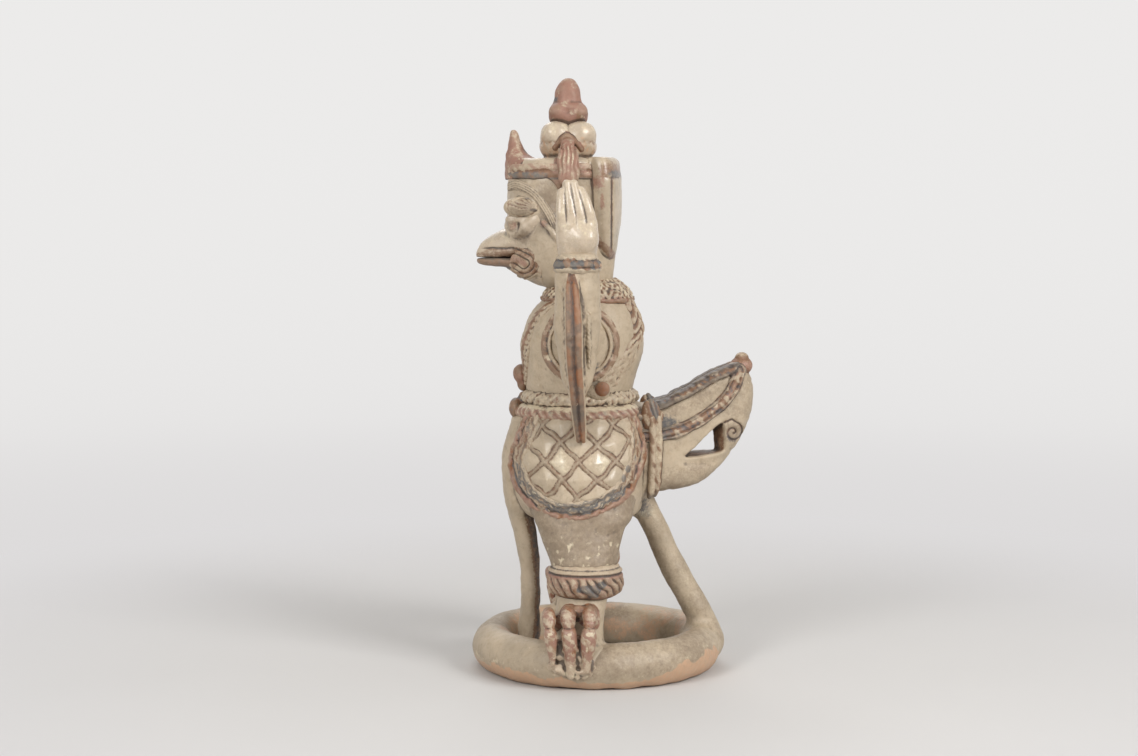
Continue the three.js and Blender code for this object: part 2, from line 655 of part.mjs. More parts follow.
const toes = [-1, 0, 1].map((place) => {
  const y = (share) => FOOT_Y + place * TOE_SPACING * share;
  const path = [
    [RING_RADIUS - 6, y(0.75), RING_HEIGHT + KNUCKLE_RISE - 3],
    [RING_RADIUS + 7, y(1), RING_HEIGHT + KNUCKLE_RISE - 1],
    [ringEdge + 1, y(1), RING_HEIGHT - 4],
    [ringEdge + 1, y(TOE_GATHER), RING_HEIGHT * 0.42],
  ];
  const across = [1, 1, 0.9, 0.5].map((share) => TOE_RADIUS * share);
  return coil(path, { across, side: [0, 1, 0], sides: 6 });
});
const instep = ball([RING_RADIUS - 1, FOOT_Y, RING_HEIGHT + KNUCKLE_RISE / 2], [11, TOE_SPACING + 5, 10]);
pair("foot", fused(instep, ...toes), red);

// Tail plume: a lens of clay cut to its outline and pierced
const plume = outline(TAIL_OUTLINE, CROTCH_Z);
plume.holes.push(outline(TAIL_PIERCING, CROTCH_Z));
const lens = ball([0, 30, CROTCH_Z + 50], [TAIL_HALF_WIDTH, 95, 85], 22);
const tail = member("tail_plume", acrossX(plume, -60, 60).intersect(lens), pale);
const loop = outline(TAIL_BAND_OUTER, CROTCH_Z);
loop.holes.push(outline(TAIL_BAND_INNER, CROTCH_Z));
pair("tail_band", acrossX(loop, 2, 60).intersect(grown(tail, BAND_RISE)), umber);
member("tail_knob", ball([0, 99.5, CROTCH_Z + 101], [KNOB_RADIUS, KNOB_RADIUS, KNOB_RADIUS + 0.6]), umber);
member(
  "strut",
  coil(
    [
      [0, 25, CROTCH_Z + 20],
      [0, 37, CROTCH_Z - 6],
      [0, (41 + RING_RADIUS) / 2, (CROTCH_Z + RING_HEIGHT) / 2 - 3],
      [0, RING_RADIUS + 4, RING_HEIGHT + 3],
      [0, RING_RADIUS + 9, RING_HEIGHT * 0.6],
    ],
    { across: STRUT_RADIUS, sides: 12, domes: [] },
  ),
  pale,
);

// Front sash: a tongue with a channel down its back
const sashFoot = -(RING_RADIUS - RING_HALF_WIDTH);
const sashPath = [
  [0, -53, WAIST_Z - 14],
  [0, -59, CROTCH_Z + 42],
  [0, -57.5, CROTCH_Z + 20],
  [0, -49.5, CROTCH_Z - 14],
  [0, -44.8, GARTER_Z + 1],
  [0, sashFoot + 9.5, RING_HEIGHT - 7],
  [0, sashFoot + 6.5, RING_HEIGHT * 0.3],
];
const sashWidths = [4, 0, 0, 1, 3, 2, 1].map((drawn) => SASH_HALF_WIDTH - drawn);
const sashDepths = [5, 5.5, 7, 8.2, 6.6, 8.2, 8.6];
const sash = coil(sashPath, { across: sashWidths, through: sashDepths, sides: 12, domes: [] });
const channel = coil(
  sashPath.slice(3).map(([x, y, z], i) => [x, y + 9, z - (i === 3 ? 12 : 0)]),
  { across: SASH_HALF_WIDTH * 0.55, through: SASH_CHANNEL, sides: 10 },
);
member("front_sash", sash.subtract(channel), pale);

// Arms
const armPath = [
  [34, SHOULDER_Y, WAIST_Z + SHOULDER_RISE + 4],
  [50, (SHOULDER_Y + ARM_Y) / 2, WAIST_Z + SHOULDER_RISE - 7],
  [ELBOW_X, ARM_Y, WAIST_Z + ELBOW_RISE + 10],
];
const upperArm = coil(armPath, { across: [13.5, 12.5, 10.5], side: [0, 1, 0], sides: 8 });
const forearmLength = WRIST_RISE + BRACELET_HEIGHT - 1 - ELBOW_RISE;
const forearmPath = [0, 0.1, 0.25, 0.47, 0.75, 1].map((share) => [
  ELBOW_X + (WRIST_X - ELBOW_X) * share,
  ARM_Y,
  WAIST_Z + ELBOW_RISE + forearmLength * share,
]);
const forearm = coil(forearmPath, {
  across: [5, 8, 10.5, 12, 11.5, 10.5],
  through: [...[9, 5.5, 2.5, 0, 0.5].map((drawn) => FOREARM_HALF_DEPTH - drawn), WRIST_HALF_DEPTH],
  sides: 10,
  domes: [0],
});
pair("arm", fused(upperArm, forearm), pale);
const wristZ = WAIST_Z + WRIST_RISE;
const palm = coil(
  [
    [WRIST_X, ARM_Y, wristZ + BRACELET_HEIGHT - 2],
    [WRIST_X, ARM_Y, wristZ + HAND_LENGTH * 0.28],
    [WRIST_X, ARM_Y - 1, wristZ + HAND_LENGTH * 0.5],
    [WRIST_X, ARM_Y - 2, wristZ + HAND_LENGTH * 0.68],
  ],
  {
    across: [8, 8.5, 7.5, 4.5],
    through: [2.2, 0, 0.5, 4.2].map((drawn) => HAND_HALF_WIDTH - drawn),
    sides: 8,
    domes: [1],
  },
);
const fingerRadius = HAND_HALF_WIDTH / FINGER_REACH.length;
const fingers = FINGER_REACH.map((reach, i) => {
  const y = -HAND_HALF_WIDTH + fingerRadius * (2 * i + 1);
  const path = [
    [WRIST_X + 3, ARM_Y + y, wristZ + HAND_LENGTH * 0.42],
    [WRIST_X + 2.5, ARM_Y - 2 + y * 0.95, wristZ + HAND_LENGTH * 0.62],
    [WRIST_X, ARM_Y - 4 + y * 0.6, wristZ + HAND_LENGTH * reach],
  ];
  const through = [0.7, 0.4, -0.8].map((swell) => fingerRadius + swell);
  return coil(path, { across: [5, 4.6, 3], through, sides: 5, domes: [1] });
});
const thumbBall = ball([WRIST_X + 5.5, ARM_Y + 9, wristZ + HAND_LENGTH * 0.33], [5, 5.2, 6.5], 6);
pair("hand", fused(palm, ...fingers, thumbBall), ochre);
pair(
  "bracelet",
  stacked(
    wristZ - 4,
    [[0, 11, 13], [0.25, 13, 15.2], [0.75, 12.8, 15], [1, 10.5, 12.5]].map(([share, width, depth]) => ({
      rise: BRACELET_HEIGHT * share,
      centre: ARM_Y,
      width,
      depth,
    })),
    { x: WRIST_X, sides: 10 },
  ),
  ash,
);

// Wings: a blade on each forearm, its foot on the hip panel
const wingTop = wristZ - 5;
const wingShape = outline(
  [
    [WRIST_X, WRIST_RISE - 5], [WRIST_X + WING_SPAN - 7, WRIST_RISE - 22],
    [WRIST_X + WING_SPAN, ELBOW_RISE + 30], [WRIST_X + WING_SPAN - 7, ELBOW_RISE - 4],
    [ELBOW_X + 1, -WING_DROP], [ELBOW_X - 7, -WING_DROP + 8],
    [ELBOW_X - 4, ELBOW_RISE - 2], [ELBOW_X, ELBOW_RISE + 25],
  ],
  WAIST_Z,
);
const wingGeometry = new THREE.ExtrudeGeometry(wingShape, {
  depth: WING_THICKNESS - 4,
  bevelThickness: 2,
  bevelSize: 2,
  bevelOffset: -2,
  bevelSegments: 1,
  curveSegments: 2,
});
wingGeometry.translate(0, 0, 2 - WING_THICKNESS / 2).applyMatrix4(FORWARDS).translate(0, 0, -wingTop);
wingGeometry.rotateX(WING_LEAN).translate(0, ARM_Y - 3, wingTop);
pair("wing", solidOf(wingGeometry), umber);

// Dress: belts, collar, straps and bosses
member("upper_belt", stacked(WAIST_Z, UPPER_BELT_SLICES, { sides: 12 }), ash);
member("lower_belt", stacked(WAIST_Z, LOWER_BELT_SLICES, { sides: 12 }), ash);
member("buckle", ball([0, -54.5, WAIST_Z - 9], [9, 4.5, 8]), umber);
member("chest_pendant", ball([0, -50.5, WAIST_Z + 13], [6.5, 5, 8]), umber);
pair("side_boss", ball([41, 4, WAIST_Z + 5], [BOSS_RADIUS, BOSS_RADIUS, BOSS_RADIUS], 8), ash);
pair("rear_knot", ball([24, 36, CROTCH_Z + 68], [KNOT_RADIUS, KNOT_RADIUS, KNOT_RADIUS + 2.5]), umber);
pair(
  "rear_ribbon",
  coil(
    [[23, 37, CROTCH_Z + 62], [24.5, 38, CROTCH_Z + 42], [24, 36, CROTCH_Z + 26], [24, 33, CROTCH_Z + 10]],
    { across: RIBBON_HALF_WIDTH, through: RIBBON_THICKNESS, side: [0, 1, 0], sides: 5 },
  ),
  umber,
);

// The origin is under the middle of the whole, on the floor.
const span = new THREE.Box3().setFromObject(figure);
const middle = span.getCenter(new THREE.Vector3());
figure.position.set(-middle.x, -middle.y, -span.min.z);

export default garuda;
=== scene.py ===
"""Models and fires the clay members of a hand-built ceramic bird-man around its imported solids.

Each member is shaped as a field of distances in millimetres from its skin, on a grid of points about the
middle of the base ring, and skinned with a mesh. The figure faces -Y, and its left side is +X.
"""

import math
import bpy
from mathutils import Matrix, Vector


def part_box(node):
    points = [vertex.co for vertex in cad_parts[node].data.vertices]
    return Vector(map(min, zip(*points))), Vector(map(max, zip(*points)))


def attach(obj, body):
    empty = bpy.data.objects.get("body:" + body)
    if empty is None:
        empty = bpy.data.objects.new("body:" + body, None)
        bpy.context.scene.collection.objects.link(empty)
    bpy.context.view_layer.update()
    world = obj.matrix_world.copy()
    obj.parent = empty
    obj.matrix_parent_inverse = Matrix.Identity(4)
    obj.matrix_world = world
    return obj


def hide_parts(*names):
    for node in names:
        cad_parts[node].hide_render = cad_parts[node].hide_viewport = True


bl_info = {
    "name": "Ceramic Garuda",
    "version": (1, 0, 0),
    "blender": (4, 5, 0),
    "location": "View3D > Sidebar > Garuda",
    "description": "Models and fires the clay members of a hand-built ceramic bird-man",
    "category": "Object",
}

import bpy
import numpy as np
import openvdb
from bpy.props import FloatProperty, FloatVectorProperty, PointerProperty
from mathutils import Vector

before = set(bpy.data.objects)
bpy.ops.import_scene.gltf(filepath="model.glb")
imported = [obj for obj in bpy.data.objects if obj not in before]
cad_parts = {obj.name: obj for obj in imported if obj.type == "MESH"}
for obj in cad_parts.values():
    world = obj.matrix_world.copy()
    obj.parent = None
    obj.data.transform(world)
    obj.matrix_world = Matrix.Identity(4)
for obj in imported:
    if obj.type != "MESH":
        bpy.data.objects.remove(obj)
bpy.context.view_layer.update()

MM = 0.001
RING_LOW, RING_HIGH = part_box("base_ring")
RING_MIDDLE = np.array([(RING_LOW.x + RING_HIGH.x) / 2, (RING_LOW.y + RING_HIGH.y) / 2, RING_LOW.z])

FAR = 25.0  # distance given to points that a form doesn't reach
REACH = 7.0  # how far round a coil its distances are worked out
SEAM = 0.06  # how far a luted edge lies below the skin that it meets
SHELL_DEPTH = 2.5  # how deep a pressed-on band goes into its host
CAVITY_REACH = 1.6  # radius of the blur that finds crevices and edges
COARSE_LUMP = 22  # wavelength of the unevenness that fingers leave
FINE_LUMP = 6.5  # wavelength of the smaller marks on it
# The smoke wash is partly painted shade.
STAIN_AND_SHADE_WEAR = 0.4  # wear of smoke and soot, which soak in

RING_RADIUS = 70.5  # from the middle of the ring to the middle of its coil
COIL_HEIGHT = 13.9  # height of the middle of the coil
COIL_HALVES = (14.6, 15.1)  # half width and half height of the coil
KNOT_Y = -19.5  # Y of the middle of the topknot and finial
SLIT_HEIGHT = 279.4  # where the halves of the beak meet
SLIT_HALF = 0.15  # half the gap between them

# Trunk and limbs: rows of height, middle in X and Y, half width in X, half depth in Y
HIPS = [
    (100, 0, -10, 36, 27), (106, 0, -10.5, 54, 38), (115, 0, -11.5, 60, 43.5), (127, 0, -12, 61, 46.5),
    (141, 0, -12.5, 59.5, 48), (157, 0, -12, 54, 46), (173, 0, -11.5, 46, 41), (188, 0, -11.5, 38, 36),
]
TORSO = [
    (180, 0, -12, 36, 33), (190, 0, -12, 38, 36), (201, 0, -11.5, 40.5, 38), (213, 0, -10.5, 42.5, 41),
    (225, 0, -10, 43.5, 41.5), (236, 0, -9, 42.5, 38.5), (246, 0, -8, 38, 33.5), (254, 0, -7.5, 30, 26.5),
    (261, 0, -8, 21, 20),
]
HEAD = [
    (257, 0, -13, 16, 16), (264, 0, -19, 23.5, 26), (272, 0, -21, 27.5, 31), (284, 0, -22, 29.5, 33.5),
    (298, 0, -23, 30, 36), (314, 0, -23.5, 30, 37), (334, 0, -23, 30.5, 37.5), (341, 0, -23, 30, 37),
    (346, 0, -22.5, 29, 36),
]
HAIR = [
    (275, 0, 6.5, 7, 3.5), (283, 0, 5.5, 20, 7.5), (296, 0, 4.5, 28, 10.5), (318, 0, 4, 33, 12.5),
    (336, 0, 3.5, 33.5, 12.5), (346.5, 0, 2.5, 32, 11.5),
]
CREST = [
    (335, 0, -52, 13, 8), (344, 0, -53, 11.5, 7.4), (352, 0, -54.5, 8.5, 5.4), (359, 0, -55.8, 5.4, 3.8),
    (365.5, 0, -56.2, 2.4, 2),
]
COLLAR = [
    (247, 0, -6.8, 32, 29), (251, 0, -6.5, 35.5, 31.5), (256, 0, -6.5, 33, 29.5), (261, 0, -6, 27.5, 25.5),
    (265, 0, -6, 21, 20),
]
THIGH = [
    (58, 52, -9, 17, 19), (70, 51.5, -9.2, 18.5, 20.5), (79, 49.5, -9.5, 19.5, 22.3),
    (92, 45.8, -10.6, 20, 25.8), (100, 43.6, -10.9, 20, 28.8), (107, 42, -10.3, 20, 32.5),
    (122, 39, -10.5, 18, 33),
]
SHIN = [
    (20, 68, -12.4, 14, 16.6), (40, 62, -12.4, 13.8, 16.2), (50, 58, -11.5, 14, 16.4),
    (62, 52, -9.5, 14, 16.5),
]
GARTER = [
    (56.5, 52, -8, 14, 16), (59.5, 52, -8, 19.5, 21.3), (63.5, 52, -8.1, 22.8, 24.4),
    (68, 52, -8.1, 23.6, 25.2), (73, 52, -8.1, 23, 24.7), (76.5, 51.5, -8.2, 21.8, 23.7),
    (79.5, 51, -8.4, 20, 22.4),
]
FOREARM = [
    (190, 60.5, -13.5, 3, 3.5), (198, 61, -13.5, 6, 7.5), (208, 61.3, -13.5, 8.5, 10.5),
    (220, 61.8, -13.5, 10.5, 13), (238, 62.4, -13.5, 12, 15), (262, 63.2, -13.5, 11.5, 14.4),
    (284, 64, -13.5, 10.5, 13),
]
BRACELET = [
    (270, 64, -13.6, 10.5, 12.5), (273, 64, -13.6, 13, 15.3), (278, 64, -13.6, 12.6, 14.8),
    (283, 64, -13.6, 10, 12),
]
SASH = [
    (8, 0, -48.5, 14, 8.6), (21, 0, -46.5, 13, 8.2), (40, 0, -45.3, 12.3, 7.2), (58, 0, -44.8, 12, 6.7),
    (75, 0, -46.6, 13, 7.5), (93, 0, -49.2, 14, 8.2), (108, 0, -53.2, 14.8, 8.2), (127, 0, -57.4, 15, 7.4),
    (148, 0, -58.2, 15, 6), (172, 0, -52.5, 11, 5),
]
UPPER_BELT = [
    (180, 0, -11.5, 39, 36), (183, 0, -11.5, 42.3, 39.2), (188.5, 0, -11.5, 41.2, 38.7),
    (191.5, 0, -12, 37, 35),
]
LOWER_BELT = [
    (170.5, 0, -11.5, 44, 39.5), (173.5, 0, -11.5, 48.6, 43.3), (178.5, 0, -11.5, 47, 42.5),
    (182.5, 0, -11.5, 40, 37),
]
# The beak: rows of Y, middle in X and height, half width, half height
UPPER_BEAK = [
    (-82, 0, 280.6, 2.6, 2.6), (-79.5, 0, 282.2, 4.8, 5.6), (-76, 0, 284.2, 7.2, 7.4),
    (-72, 0, 285.8, 9.4, 8.8), (-66, 0, 287.4, 12.2, 10.2), (-60, 0, 289, 15, 11), (-52, 0, 291, 18, 12),
    (-40, 0, 292.5, 20, 12.8),
]
LOWER_BEAK = [
    (-81.6, 0, 278, 2.4, 2.2), (-77, 0, 278, 5.6, 3.4), (-70, 0, 278, 9.2, 4.4), (-61, 0, 277.4, 13.4, 5.2),
    (-54, 0, 275.4, 16, 7.6), (-46, 0, 273, 17, 8.7), (-40, 0, 271.5, 17, 9.2),
]

# Outlines and lines on the sides, as points of Y and height
HIP_PANEL = [
    (-50, 215), (-53, 171), (-61.5, 150), (-57, 128), (-44, 114.5), (-22, 108), (2, 112), (22, 124),
    (33.5, 147), (35, 171), (35, 215),
]
TAIL_OUTLINE = [
    (20, 127), (49, 122.5), (71, 128), (92, 148), (104.5, 173), (105.5, 195), (97, 208), (81, 202.5),
    (60, 190.5), (43, 181), (20, 174),
]
TAIL_PIERCING = [(60, 146), (66, 151.5), (74, 160), (84.5, 168), (86.3, 159), (86, 149.5), (74, 146.6)]
TAIL_HALF = [(20, 22), (50, 20.5), (75, 17), (95, 12.5), (108, 9)]  # Y, half width of the plume
TAIL_LOWER_BAND = [(28, 160), (40, 160.5), (54, 163.5), (69, 170.5), (84.5, 182), (92, 192), (96.5, 204)]
TAIL_UPPER_BAND = [(28, 174), (40, 180.5), (60, 189), (78, 199.5), (95, 205.5)]
WING_OUTLINE = [  # points of X and height
    (66, 273), (76, 265), (82, 252), (86.5, 228), (79, 194), (62, 161.5), (54, 169), (56, 196), (60, 223),
]
WING_LINE = [(160, -11.2), (190, -13.6), (213, -15.4), (243, -16.2), (270, -17.4)]  # height, Y of its middle


def tone(code):
    """A linear colour from a 24-bit display colour."""
    parts = [((code >> shift) & 255) / 255 for shift in (16, 8, 0)]
    return tuple(c / 12.92 if c <= 0.04045 else ((c + 0.055) / 1.055) ** 2.4 for c in parts)


def colour(name, description, code):
    return FloatVectorProperty(
        name=name, description=description, subtype="COLOR", size=3, min=0, max=1, default=tone(code)
    )


def length(name, description, default):
    return FloatProperty(
        name=name, description=description, default=default, min=0, subtype="DISTANCE_CAMERA"
    )


def power(name, description, default):
    return FloatProperty(name=name, description=description, default=default, min=0, unit="POWER")


class GarudaSizes(bpy.types.PropertyGroup):
    """Sizes of the clay work, in millimetres"""

    net_width: length("Net width", "Width of a diamond in the net on the hips", 24.6)
    net_height: length("Net height", "Height of a diamond in the net on the hips", 23.2)
    net_strand: length("Net strand", "Half width of a strand of the net", 1.4)
    border_width: length("Border width", "Width of the border round the hip panel", 13.5)
    fringe_pitch: length("Fringe pitch", "Distance between the strokes on the knee bands", 7.4)
    unevenness: length("Unevenness", "How far hand-rolled clay strays from its form", 0.3)
    lute: length("Lute", "Radius of the wiped joins between members", 5.0)


class GarudaColours(bpy.types.PropertyGroup):
    """Slips and pigments"""

    pale: colour("Pale slip", "Buff slip over most of the figure", 0xBAA991)
    ochre: colour("Ochre slip", "Yellowish slip of the hands, beak and topknot", 0xC2B19B)
    umber: colour("Umber", "Brown slip of bands, straps and lips", 0x805F47)
    red: colour("Earth red", "Red slip of the crest, finial, garters and toes", 0x97705F)
    rust: colour("Rust", "Orange-brown slip where iron shows through", 0x85522F)
    ash: colour("Ash", "Blue-grey pigment in bands and recesses", 0x5A5959)
    lime: colour("Lime", "Pale yellow clay caught on high spots", 0xD2C4A8)
    bare: colour("Bare clay", "Unslipped orange clay of the foot", 0xC4A082)
    # Smoke is also painted on as shade, as over the thighs below the hips.
    smoke: colour("Smoke", "Grey-brown wash left by the kiln", 0x8B7A66)
    soot: colour("Soot", "Dark brown of incised lines", 0x483E38)
    # Crevice colour: painted shade in crevices, with a dark deposit.
    dirt: colour("Dirt", "Dark deposit in crevices", 0x463A31)


class GarudaStage(bpy.types.PropertyGroup):
    """Floor and light"""

    floor: colour("Floor", "Colour of the floor", 0xCFCDCB)
    distance: colour("Distance", "Colour that the backdrop takes behind the figure", 0xDDDBDB)
    backdrop: colour("Backdrop", "Colour that the backdrop takes far off", 0xECEBEA)
    key: power("Key", "Power of the key light", 17.0)
    fill: power("Fill", "Power of the fill light", 10.0)
    back: power("Back", "Power of the light behind", 6.0)
    sky: FloatProperty(name="Sky", description="Strength of the surrounding light", default=0.74, min=0)


# Clay kit


def blend(a, b, k):
    """The two forms joined, with a fillet of about k."""
    h = np.maximum(k - np.abs(a - b), 0) / k
    return np.minimum(a, b) - h * h * k / 4


def crease(a, b, k):
    """What lies in both forms, with its edges rounded by about k."""
    return -blend(-a, -b, k)


def bump(distance, width):
    return np.exp(-((distance / width) ** 2))


def step(low, high, value):
    """0 below low, 1 above high, and smooth between."""
    t = np.clip((value - low) / (high - low), 0, 1)
    return t * t * (3 - 2 * t)


def luted(field, host, k):
    """A form with its foot wiped onto the host's skin."""
    return np.maximum(blend(field, host + SEAM, k), field - 0.9 * k)


def pressed(host, rise, band, edge=1.2):
    """A band of clay on a host's skin, standing up by rise."""
    return np.maximum(crease(host - rise, band, edge), -host - SHELL_DEPTH)


def smooth_line(points, fine):
    """Points on a smooth curve through the given ones."""
    knots = np.array(points, float)
    slopes = np.gradient(knots, axis=0)
    at = np.linspace(0, len(knots) - 1, (len(knots) - 1) * fine + 1)
    i = np.minimum(at.astype(int), len(knots) - 2)
    t = (at - i)[:, None]
    a, b, start, end = knots[i], knots[i + 1], slopes[i], slopes[i + 1]
    ease = t * t * (3 - 2 * t)
    bend = t * (1 - t) * (start * (1 - t) - end * t)
    return a + (b - a) * ease + bend + (b - a) * t * (1 - t) * (2 * t - 1)


def smooth_rows(rows, column, at):
    """One column of a table of rows, read smoothly between its heights."""
    heights = np.array([row[0] for row in rows], float)
    values = np.array([row[column] for row in rows], float)
    slopes = np.gradient(values, heights)
    at = np.clip(at, heights[0], heights[-1])
    i = np.clip(np.searchsorted(heights, at) - 1, 0, len(rows) - 2)
    gap = heights[i + 1] - heights[i]
    t = (at - heights[i]) / gap
    ends = values[i] * (1 + 2 * t) * (1 - t) ** 2 + values[i + 1] * t * t * (3 - 2 * t)
    return (ends + gap * t * (1 - t) * (slopes[i] * (1 - t) - slopes[i + 1] * t)).astype(np.float32)


def spiral(middle, radius, turns, start, way=1, steps=40):
    """Points of a spiral that winds in to its middle."""
    for k in range(steps + 1):
        share = k / steps
        angle = start + way * 2 * math.pi * turns * share
        reach = radius * (1 - 0.92 * share)
        yield (middle[0] + reach * math.cos(angle), middle[1] + reach * math.sin(angle))


def to_line(u, v, points):
    """Distance in a plane from a line of points."""
    found = np.float32(FAR * 10)
    for (au, av), (bu, bv) in zip(points, points[1:]):
        du, dv = bu - au, bv - av
        t = np.clip(((u - au) * du + (v - av) * dv) / (du * du + dv * dv + 1e-9), 0, 1)
        found = np.minimum(found, np.hypot(u - au - t * du, v - av - t * dv))
    return found


def in_outline(u, v, points, fine=5):
    """Distance in a plane from a smooth closed outline, negative inside it."""
    closed = smooth_line([points[-1], *points, points[0], points[1]], fine)[fine:-fine]
    inside = np.zeros(np.broadcast(u, v).shape, bool)
    for (au, av), (bu, bv) in zip(closed, closed[1:]):
        crosses = (v < av) != (v < bv)
        if av != bv:
            inside ^= crosses & (u < au + (v - av) * (bu - au) / (bv - av))
    gap = to_line(u, v, closed)
    return np.where(inside, -gap, gap).astype(np.float32)


def softened(field, cells):
    """A field blurred over a cube of cells, twice."""
    for axis in (0, 1, 2) * 2:
        count = field.shape[axis]
        total = np.cumsum(field, axis=axis, dtype=np.float64)
        high = np.minimum(np.arange(count) + cells, count - 1)
        low = np.arange(count) - cells - 1
        top = np.take(total, high, axis)
        shape = [1, 1, 1]
        shape[axis] = count
        bottom = np.take(total, np.maximum(low, 0), axis) * (low >= 0).reshape(shape)
        field = ((top - bottom) / (high - np.maximum(low, -1)).reshape(shape)).astype(np.float32)
    return field


class Clay:
    """A grid of points to shape a member on, and the pigments brushed onto it."""

    def __init__(self, low, high, pitch):
        self.pitch = pitch * 1
        self.low = np.array(low, float)
        self.lines = [np.arange(a, b + self.pitch, self.pitch, dtype=np.float32) for a, b in zip(low, high)]
        self.x, self.y, self.z = np.meshgrid(*self.lines, indexing="ij", sparse=True)
        self.shape = tuple(len(line) for line in self.lines)
        self.pigments = {}

    def block(self, low, high):
        """The part of the grid inside a box."""
        ends = [np.searchsorted(line, (a, b)) for line, a, b in zip(self.lines, low, high)]
        return tuple(slice(a, b) for a, b in ends)

    def ovals(self, rows, along="z", ends=3.0):
        """A form built up in oval slices, with its ends rounded."""
        path, across = (self.z, self.y) if along == "z" else (self.y, self.z)
        u = self.x - smooth_rows(rows, 1, path)
        v = across - smooth_rows(rows, 2, path)
        wide, deep = smooth_rows(rows, 3, path), smooth_rows(rows, 4, path)
        share = np.hypot(u / wide, v / deep) + 1e-3
        side = np.hypot(u, v) * (1 - 1 / share)
        return crease(side, np.maximum(rows[0][0] - path, path - rows[-1][0]), ends)

    def ball(self, middle, radii):
        parts = [(axis - m) / r for axis, m, r in zip((self.x, self.y, self.z), middle, radii)]
        share = np.sqrt(sum(p * p for p in parts)) + 1e-4
        slope = np.sqrt(sum((p / r) ** 2 for p, r in zip(parts, radii))) + 1e-5
        return (share * (share - 1) / slope).astype(np.float32)

    def coil(self, path, radius, stretch=(1, 1, 1), fine=4):
        """A rolled coil along a smooth path. Its radius may be a list, with one for each point."""
        radii = np.broadcast_to(np.atleast_1d(np.array(radius, float)), len(path))
        line = smooth_line(np.column_stack([np.array(path, float), radii]), fine)
        found = np.full(self.shape, FAR, np.float32)
        sx, sy, sz = stretch
        for a, b in zip(line, line[1:]):
            reach = max(a[3], b[3]) + REACH
            part = self.block(np.minimum(a, b)[:3] - reach, np.maximum(a, b)[:3] + reach)
            x, y, z = self.lines[0][part[0]], self.lines[1][part[1]], self.lines[2][part[2]]
            if not (len(x) and len(y) and len(z)):
                continue
            x, y, z = (x[:, None, None] - a[0]) * sx, (y[:, None] - a[1]) * sy, (z - a[2]) * sz
            dx, dy, dz = (b - a)[:3] * stretch
            t = np.clip((x * dx + y * dy + z * dz) / (dx * dx + dy * dy + dz * dz + 1e-9), 0, 1)
            gap = np.sqrt((x - t * dx) ** 2 + (y - t * dy) ** 2 + (z - t * dz) ** 2)
            gap = (gap - (a[3] + t * (b[3] - a[3]))) / max(stretch)
            found[part] = np.minimum(found[part], gap)
        return found

    def evened(self, field):
        """A form's field with true distances near its skin."""
        slope = np.sqrt(sum(g * g for g in np.gradient(field, self.pitch)))
        return field / np.clip(slope, 0.35, 3)

    def lumps(self, size, height, seed):
        """Smooth unevenness of a wavelength and a height."""
        draw = np.random.default_rng(seed)
        total = np.zeros(self.shape, np.float32)
        waves = 7
        for _ in range(waves):
            way = draw.normal(size=3)
            way *= 2 * math.pi / size * draw.uniform(0.6, 1.5) / np.linalg.norm(way)
            total += np.sin(self.x * way[0] + self.y * way[1] + self.z * way[2] + draw.uniform(0, 7))
        return total * (height / math.sqrt(waves / 2))

    def paint(self, pigment, amount):
        """Brushes on a pigment, from 0 to 1."""
        before = self.pigments.get(pigment, np.float32(0))
        self.pigments[pigment] = np.maximum(before, np.clip(amount, 0, 1)).astype(np.float32)

    def skin(self, field):
        """Points and quads of a field's skin, in grid steps."""
        closed = np.clip(field, -3 * self.pitch, 3 * self.pitch).astype(np.float32)
        for axis in range(3):
            for end in (0, -1):
                edge = np.moveaxis(closed, axis, 0)[end]
                np.maximum(edge, self.pitch / 2, out=edge)
        grid = openvdb.FloatGrid(3 * self.pitch)
        grid.copyFromArray(np.ascontiguousarray(closed))
        points, quads = grid.convertToQuads(0.0)
        return points, quads[:, ::-1]

    def read(self, values, points):
        """Values of a field at points given in grid steps."""
        values = np.broadcast_to(values, self.shape)
        base = np.clip(np.floor(points).astype(int), 0, np.array(self.shape) - 2)
        share = points - base
        total = np.zeros(len(points), np.float32)
        for corner in np.ndindex(2, 2, 2):
            weight = np.prod(np.where(corner, share, 1 - share), axis=1)
            total += weight * values[tuple((base + corner).T)]
        return total

    def fire(self, node, field, slot, around=(), uneven=1.0, seed=1):
        """Makes the mesh of a member on the middle line, and puts it in its node's place."""
        self.place(node, *self.member(field, around, uneven, seed), slot)

    def fire_pair(self, node, field, slot, around=(), uneven=1.0, seed=1):
        """Makes a member on the left, and its mirror image on the right."""
        points, quads, coats = self.member(field, around, uneven, seed)
        self.place(f"left_{node}", points, quads, coats, slot)
        self.place(f"right_{node}", points * (-1, 1, 1), quads[:, ::-1], coats, slot)

    def member(self, field, around, uneven, seed):
        amount = bpy.context.scene.garuda_sizes.unevenness * uneven
        field = field + self.lumps(COARSE_LUMP, amount, seed)
        field = field + self.lumps(FINE_LUMP, 0.28 * amount, seed + 50)
        points, quads = self.skin(field)
        near = np.clip(np.minimum.reduce([field, *around]) if around else field, -6, 6)
        cells = max(1, round(CAVITY_REACH / self.pitch))
        # The cavity coat marks crevices and edges; the finish uses it to paint shade and grime into the
        # crevices.
        coats = dict(self.pigments, cavity=(near - softened(near, cells)) / CAVITY_REACH)
        coats = {name: self.read(values, points) for name, values in coats.items()}
        return self.low + points * self.pitch, quads, coats

